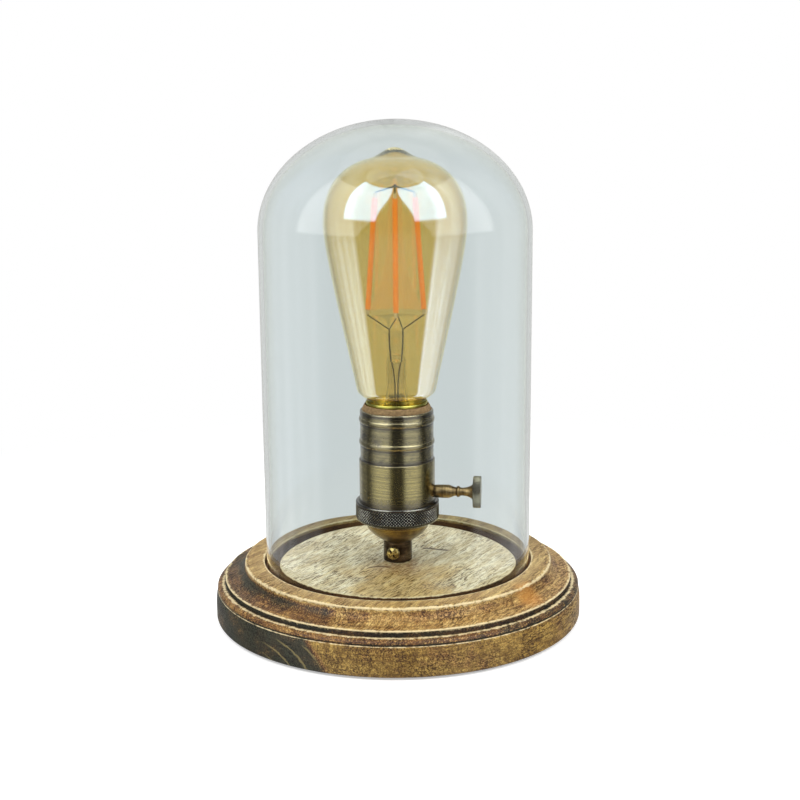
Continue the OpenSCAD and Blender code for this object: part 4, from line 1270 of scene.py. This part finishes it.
@dataclass(frozen=True)
class Cloche:
    """The clear glass bell in the groove of the base."""

    glass: Finish = Glass("cloche_glass", "clear_glass", srgb(227, 232, 232), (0.93, 0.95, 0.95), 1.2)
    outer_r: float = 60.8
    wall: float = 2.2
    foot_z: float = 20.9
    crown_z: float = 176.6
    crown_h: float = 48.8
    rings: int = 64

    def crown(self, r: float, h: float) -> list[Point]:
        """Rounded crown from the side up to the top."""
        turns = [math.pi / 2 * i / self.rings for i in range(self.rings)]
        return [*((r * math.cos(t), self.crown_z + h * math.sin(t)) for t in turns), (0.0, self.crown_z + h)]

    def build(self) -> None:
        """Makes the glass wall."""
        lip = self.wall / 2
        inner_r = self.outer_r - self.wall
        Piece("glass_bell", Body.CLOCHE, self.glass, ("glass_cloche",), 180.0).make(turned([
            *reversed(self.crown(inner_r, self.crown_h - self.wall)),
            (inner_r, 120.0), (inner_r, 60.0),
            *arc(self.outer_r - lip, self.foot_z + lip, lip, -180, 0, 12),
            (self.outer_r, 60.0), (self.outer_r, 120.0),
            *self.crown(self.outer_r, self.crown_h),
        ], 256, closed=False))


@dataclass(frozen=True)
class Bulb:
    """The amber filament bulb: glass, cap, stem, leads and filaments."""

    glass: Finish = Glass(
        "bulb_amber", "amber_glass", srgb(255, 235, 174), (1.0, 0.95, 0.84), coat=1.0, coat_ior=2.2
    )
    stem_glass: Finish = Glass("stem_clear", "stem_glass", srgb(254, 250, 240), (1.0, 1.0, 1.0), 1.13)
    brass: Finish = Metal(
        "cap_brass", "cap_brass", srgb(222, 214, 112), srgb(190, 178, 84), 0.24, 1.0, 0.01, 0.3
    )
    black: Finish = Plain("black_glass", "black_glass", srgb(24, 24, 24), srgb(34, 34, 34), 0.15, 1.0, 0.01)
    solder: Finish = Metal(
        "dull_solder", "solder", srgb(190, 190, 190), srgb(150, 150, 150), 0.4, 0.6, 0.02, 0.5
    )
    nickel: Finish = Metal(
        "lead_wire", "lead_wire", srgb(98, 66, 44), srgb(58, 36, 24), 0.4, 1.0, 0.005, 0.5
    )
    pale: Finish = Plain(
        "clip_nickel", "lead_wire", srgb(226, 214, 186), srgb(190, 176, 148), 0.35, 1.0, 0.01, 0.6
    )
    glow: Finish = Plain(
        "filament_orange", "filament", srgb(250, 150, 14), srgb(242, 136, 12), 0.45, 1.5, 0.02
    )
    board: Finish = Plain("board_green", "board", srgb(70, 110, 78), srgb(58, 92, 64), 0.4, 1.0, 0.02)
    crown_z: float = 179.3
    radius: float = 32.0
    rim_r: float = 14.15
    neck_r: float = 13.45
    tube_r: float = 11.2
    tube_z: float = 86.4
    wall: float = 0.8
    crown_h: float = 30.4
    nub_h: float = 3.7
    nub_r: float = 11.0
    power: float = 2 / 2.4
    rings: int = 56
    turn: float = 6.5
    foot_r: float = 12.7
    top_r: float = 8.8
    foot_z: float = 139.7
    rod_l: float = 54.0
    rod_r: float = 1.2
    clip_l: float = 2.2

    def side(self) -> list[Point]:
        """Side of the envelope from its widest place down into the cap."""
        return [
            *bend((self.radius, self.crown_z), (self.radius, 168.0), (22.2, 126.0), (18.2, 106.5), 44),
            *bend((18.0, 105.6), (17.6, 103.2), (self.neck_r + 0.9, 102.4), (self.neck_r, 100.2), 10),
            (self.neck_r - 0.9, 97.0), (self.tube_r + 0.3, 92.0), (self.tube_r, self.tube_z),
        ]

    def crown(self, shrink: float) -> list[Point]:
        """Crown of the envelope from its widest place up to the sealed tip."""
        points = []
        for i in range(self.rings + 1):
            t = math.pi / 2 * i / self.rings
            r = (self.radius - shrink) * max(0.0, math.cos(t)) ** self.power if i < self.rings else 0.0
            z = self.crown_z + (self.crown_h - shrink) * math.sin(t) ** self.power
            if r < self.nub_r:
                z += (self.nub_h - shrink) * (0.5 + 0.5 * math.cos(math.pi * r / self.nub_r))
            points.append((r, z))
        return points

    def envelope(self) -> None:
        """Makes the amber glass."""
        side = self.side()
        outline = [
            *reversed(self.crown(self.wall)), *inset(side[1:], self.wall),
            *reversed(side), *self.crown(0.0)[1:],
        ]
        shape = turned(outline, 224, closed=False)
        Piece("amber_envelope", Body.BULB, self.glass, ("bulb_glass",), 180.0).make(shape)

    def cap(self) -> None:
        """Makes the screw cap with its rolled thread and dresses the insulator and tip."""
        root, crest, pitch, low, high = 12.05, 13.15, 3.63, 77.0, 91.5
        rows = [low + i * pitch / 12 for i in range(round((high - low) / pitch * 12) + 1)]
        shape = turned([
            (10.75, 75.4), (11.95, 75.4), (root, 76.5), *((root, z) for z in rows), (13.05, 92.3),
            (crest, 96.0), (14.05, 98.8), (self.rim_r, 99.7), (self.rim_r - 0.2, 100.0), (13.75, 99.9),
            (13.6, 98.8), (12.75, 96.4), (11.8, 92.2), (11.55, 86.4), (11.55, 76.2),
        ], 120)
        for vert in shape.verts:
            z, r = vert.co.z / MM, math.hypot(vert.co.x, vert.co.y) / MM
            if low < z < rows[-1] + 0.01 and r > root - 0.05:
                share = max(0.0, min(1.0, 2 * min(z - low, high - z) / pitch))
                wave = math.cos(FULL * z / pitch - math.atan2(vert.co.y, vert.co.x))
                grow = 1 + (crest - root) * share * (wave + 1) / 2 / r
                vert.co.x *= grow
                vert.co.y *= grow
        Piece("screw_cap", Body.BULB, self.brass, ("bulb_cap",), 50.0).make(shape)
        dress("bulb_insulator", self.black)
        dress("bulb_tip", self.solder)

    def stem(self) -> None:
        """Makes the glass stem with its press."""
        flare = 10.3
        outer = bend((flare, 87.4), (8.2, 94.4), (5.0, 95.4), (4.6, 106.4), 18)
        tube = turned([
            (flare - 0.8, self.tube_z), (flare, self.tube_z), *outer, (4.5, 116.0), (4.2, 119.0),
            (3.4, 120.6), (0, 121.0), (0, 118.6), (3.2, 118.2), (3.6, 116.0), (3.7, 106.4),
            *reversed(inset(outer, 0.8)),
        ], 64)
        press = bmesh.new()
        bmesh.ops.create_cube(press, size=1.0)
        bmesh.ops.scale(press, vec=(7.6 * MM, 3.2 * MM, 11.0 * MM), verts=press.verts)
        bmesh.ops.bevel(
            press, geom=press.edges, affect="EDGES", offset=1.3 * MM, segments=4, profile=0.5, material=-1
        )
        bmesh.ops.subdivide_edges(press, edges=press.edges, cuts=2, use_grid_fill=True)
        bmesh.ops.translate(press, vec=(0, 0, 126.4 * MM), verts=press.verts)
        for vert in press.verts:
            vert.co += noise.noise_vector(vert.co * 420) * 0.42 * MM
        whole = joined([tube, press])
        spun(whole, self.turn)
        Piece("glass_stem", Body.BULB, self.stem_glass, ("bulb_stem",), 60.0).make(whole)

    def on_rod(self, angle: float, along: float) -> Spot:
        """A place on the line of the filament at this angle, at a distance from its foot."""
        share = along / self.rod_l
        lean = math.asin((self.foot_r - self.top_r) / self.rod_l)
        r = self.foot_r + (self.top_r - self.foot_r) * share
        a = math.radians(angle + self.turn)
        return r * math.cos(a), r * math.sin(a), self.foot_z + along * math.cos(lean)

    def inside(self) -> None:
        """Makes the leads, the filaments with their clips and the wires that join them at the top."""
        angles = (0, 90, 180, 270)
        low, high = self.clip_l, self.rod_l - self.clip_l
        rods = [wire([self.on_rod(a, low), self.on_rod(a, high)], self.rod_r, 16) for a in angles]
        Piece("filament_rods", Body.BULB, self.glow, ("bulb_filaments",)).make(joined(rods))
        clips = [
            wire([self.on_rod(a, start), self.on_rod(a, start + self.clip_l)], 0.8, 12)
            for a in angles for start in (0.0, high)
        ]
        Piece("rod_clips", Body.BULB, self.pale, ("filament_clips",)).make(joined(clips))
        hub = (0.0, 0.0, 196.5)
        top = [wire([hub, self.on_rod(a, self.rod_l + 0.2)], 0.35) for a in angles]
        knot = bmesh.new()
        bmesh.ops.create_uvsphere(knot, u_segments=20, v_segments=12, radius=0.9 * MM)
        bmesh.ops.translate(knot, vec=Vector(hub) * MM, verts=knot.verts)
        Piece("top_wires", Body.BULB, self.nickel, ("bulb_top_wires",)).make(joined([*top, knot]))
        path = [
            (0.6, 94.9), (0.7, 108.0), (1.3, 114.0), (2.5, 120.4), (2.9, 126.0), (3.0, 131.4), (3.1, 132.7),
        ]
        leads = []
        for half in (0, 180):
            a = math.radians(half + self.turn)
            rise = [(r * math.cos(a), r * math.sin(a), z) for r, z in path]
            leads.append(wire([*rise, self.on_rod(half, -0.35)], 0.3))
            leads.append(wire([rise[-2], rise[-1], self.on_rod(half + 90, -0.35)], 0.26))
        Piece("lead_wires", Body.BULB, self.nickel, ("bulb_leads",)).make(joined(leads))
        dress("bulb_driver", self.board)

    def build(self) -> None:
        """Makes the whole bulb."""
        self.envelope()
        self.cap()
        self.stem()
        self.inside()


def main() -> None:
    """Builds the studio and each sub-assembly."""
    logging.basicConfig(level=logging.INFO, format="%(message)s")
    Studio().build()
    for assembly in (WoodenBase(), Lampholder(), Switch(), Socket(), Cloche(), Bulb()):
        LOG.info("-- %s", type(assembly).__name__)
        assembly.build()


if __name__ == "__main__":
    main()
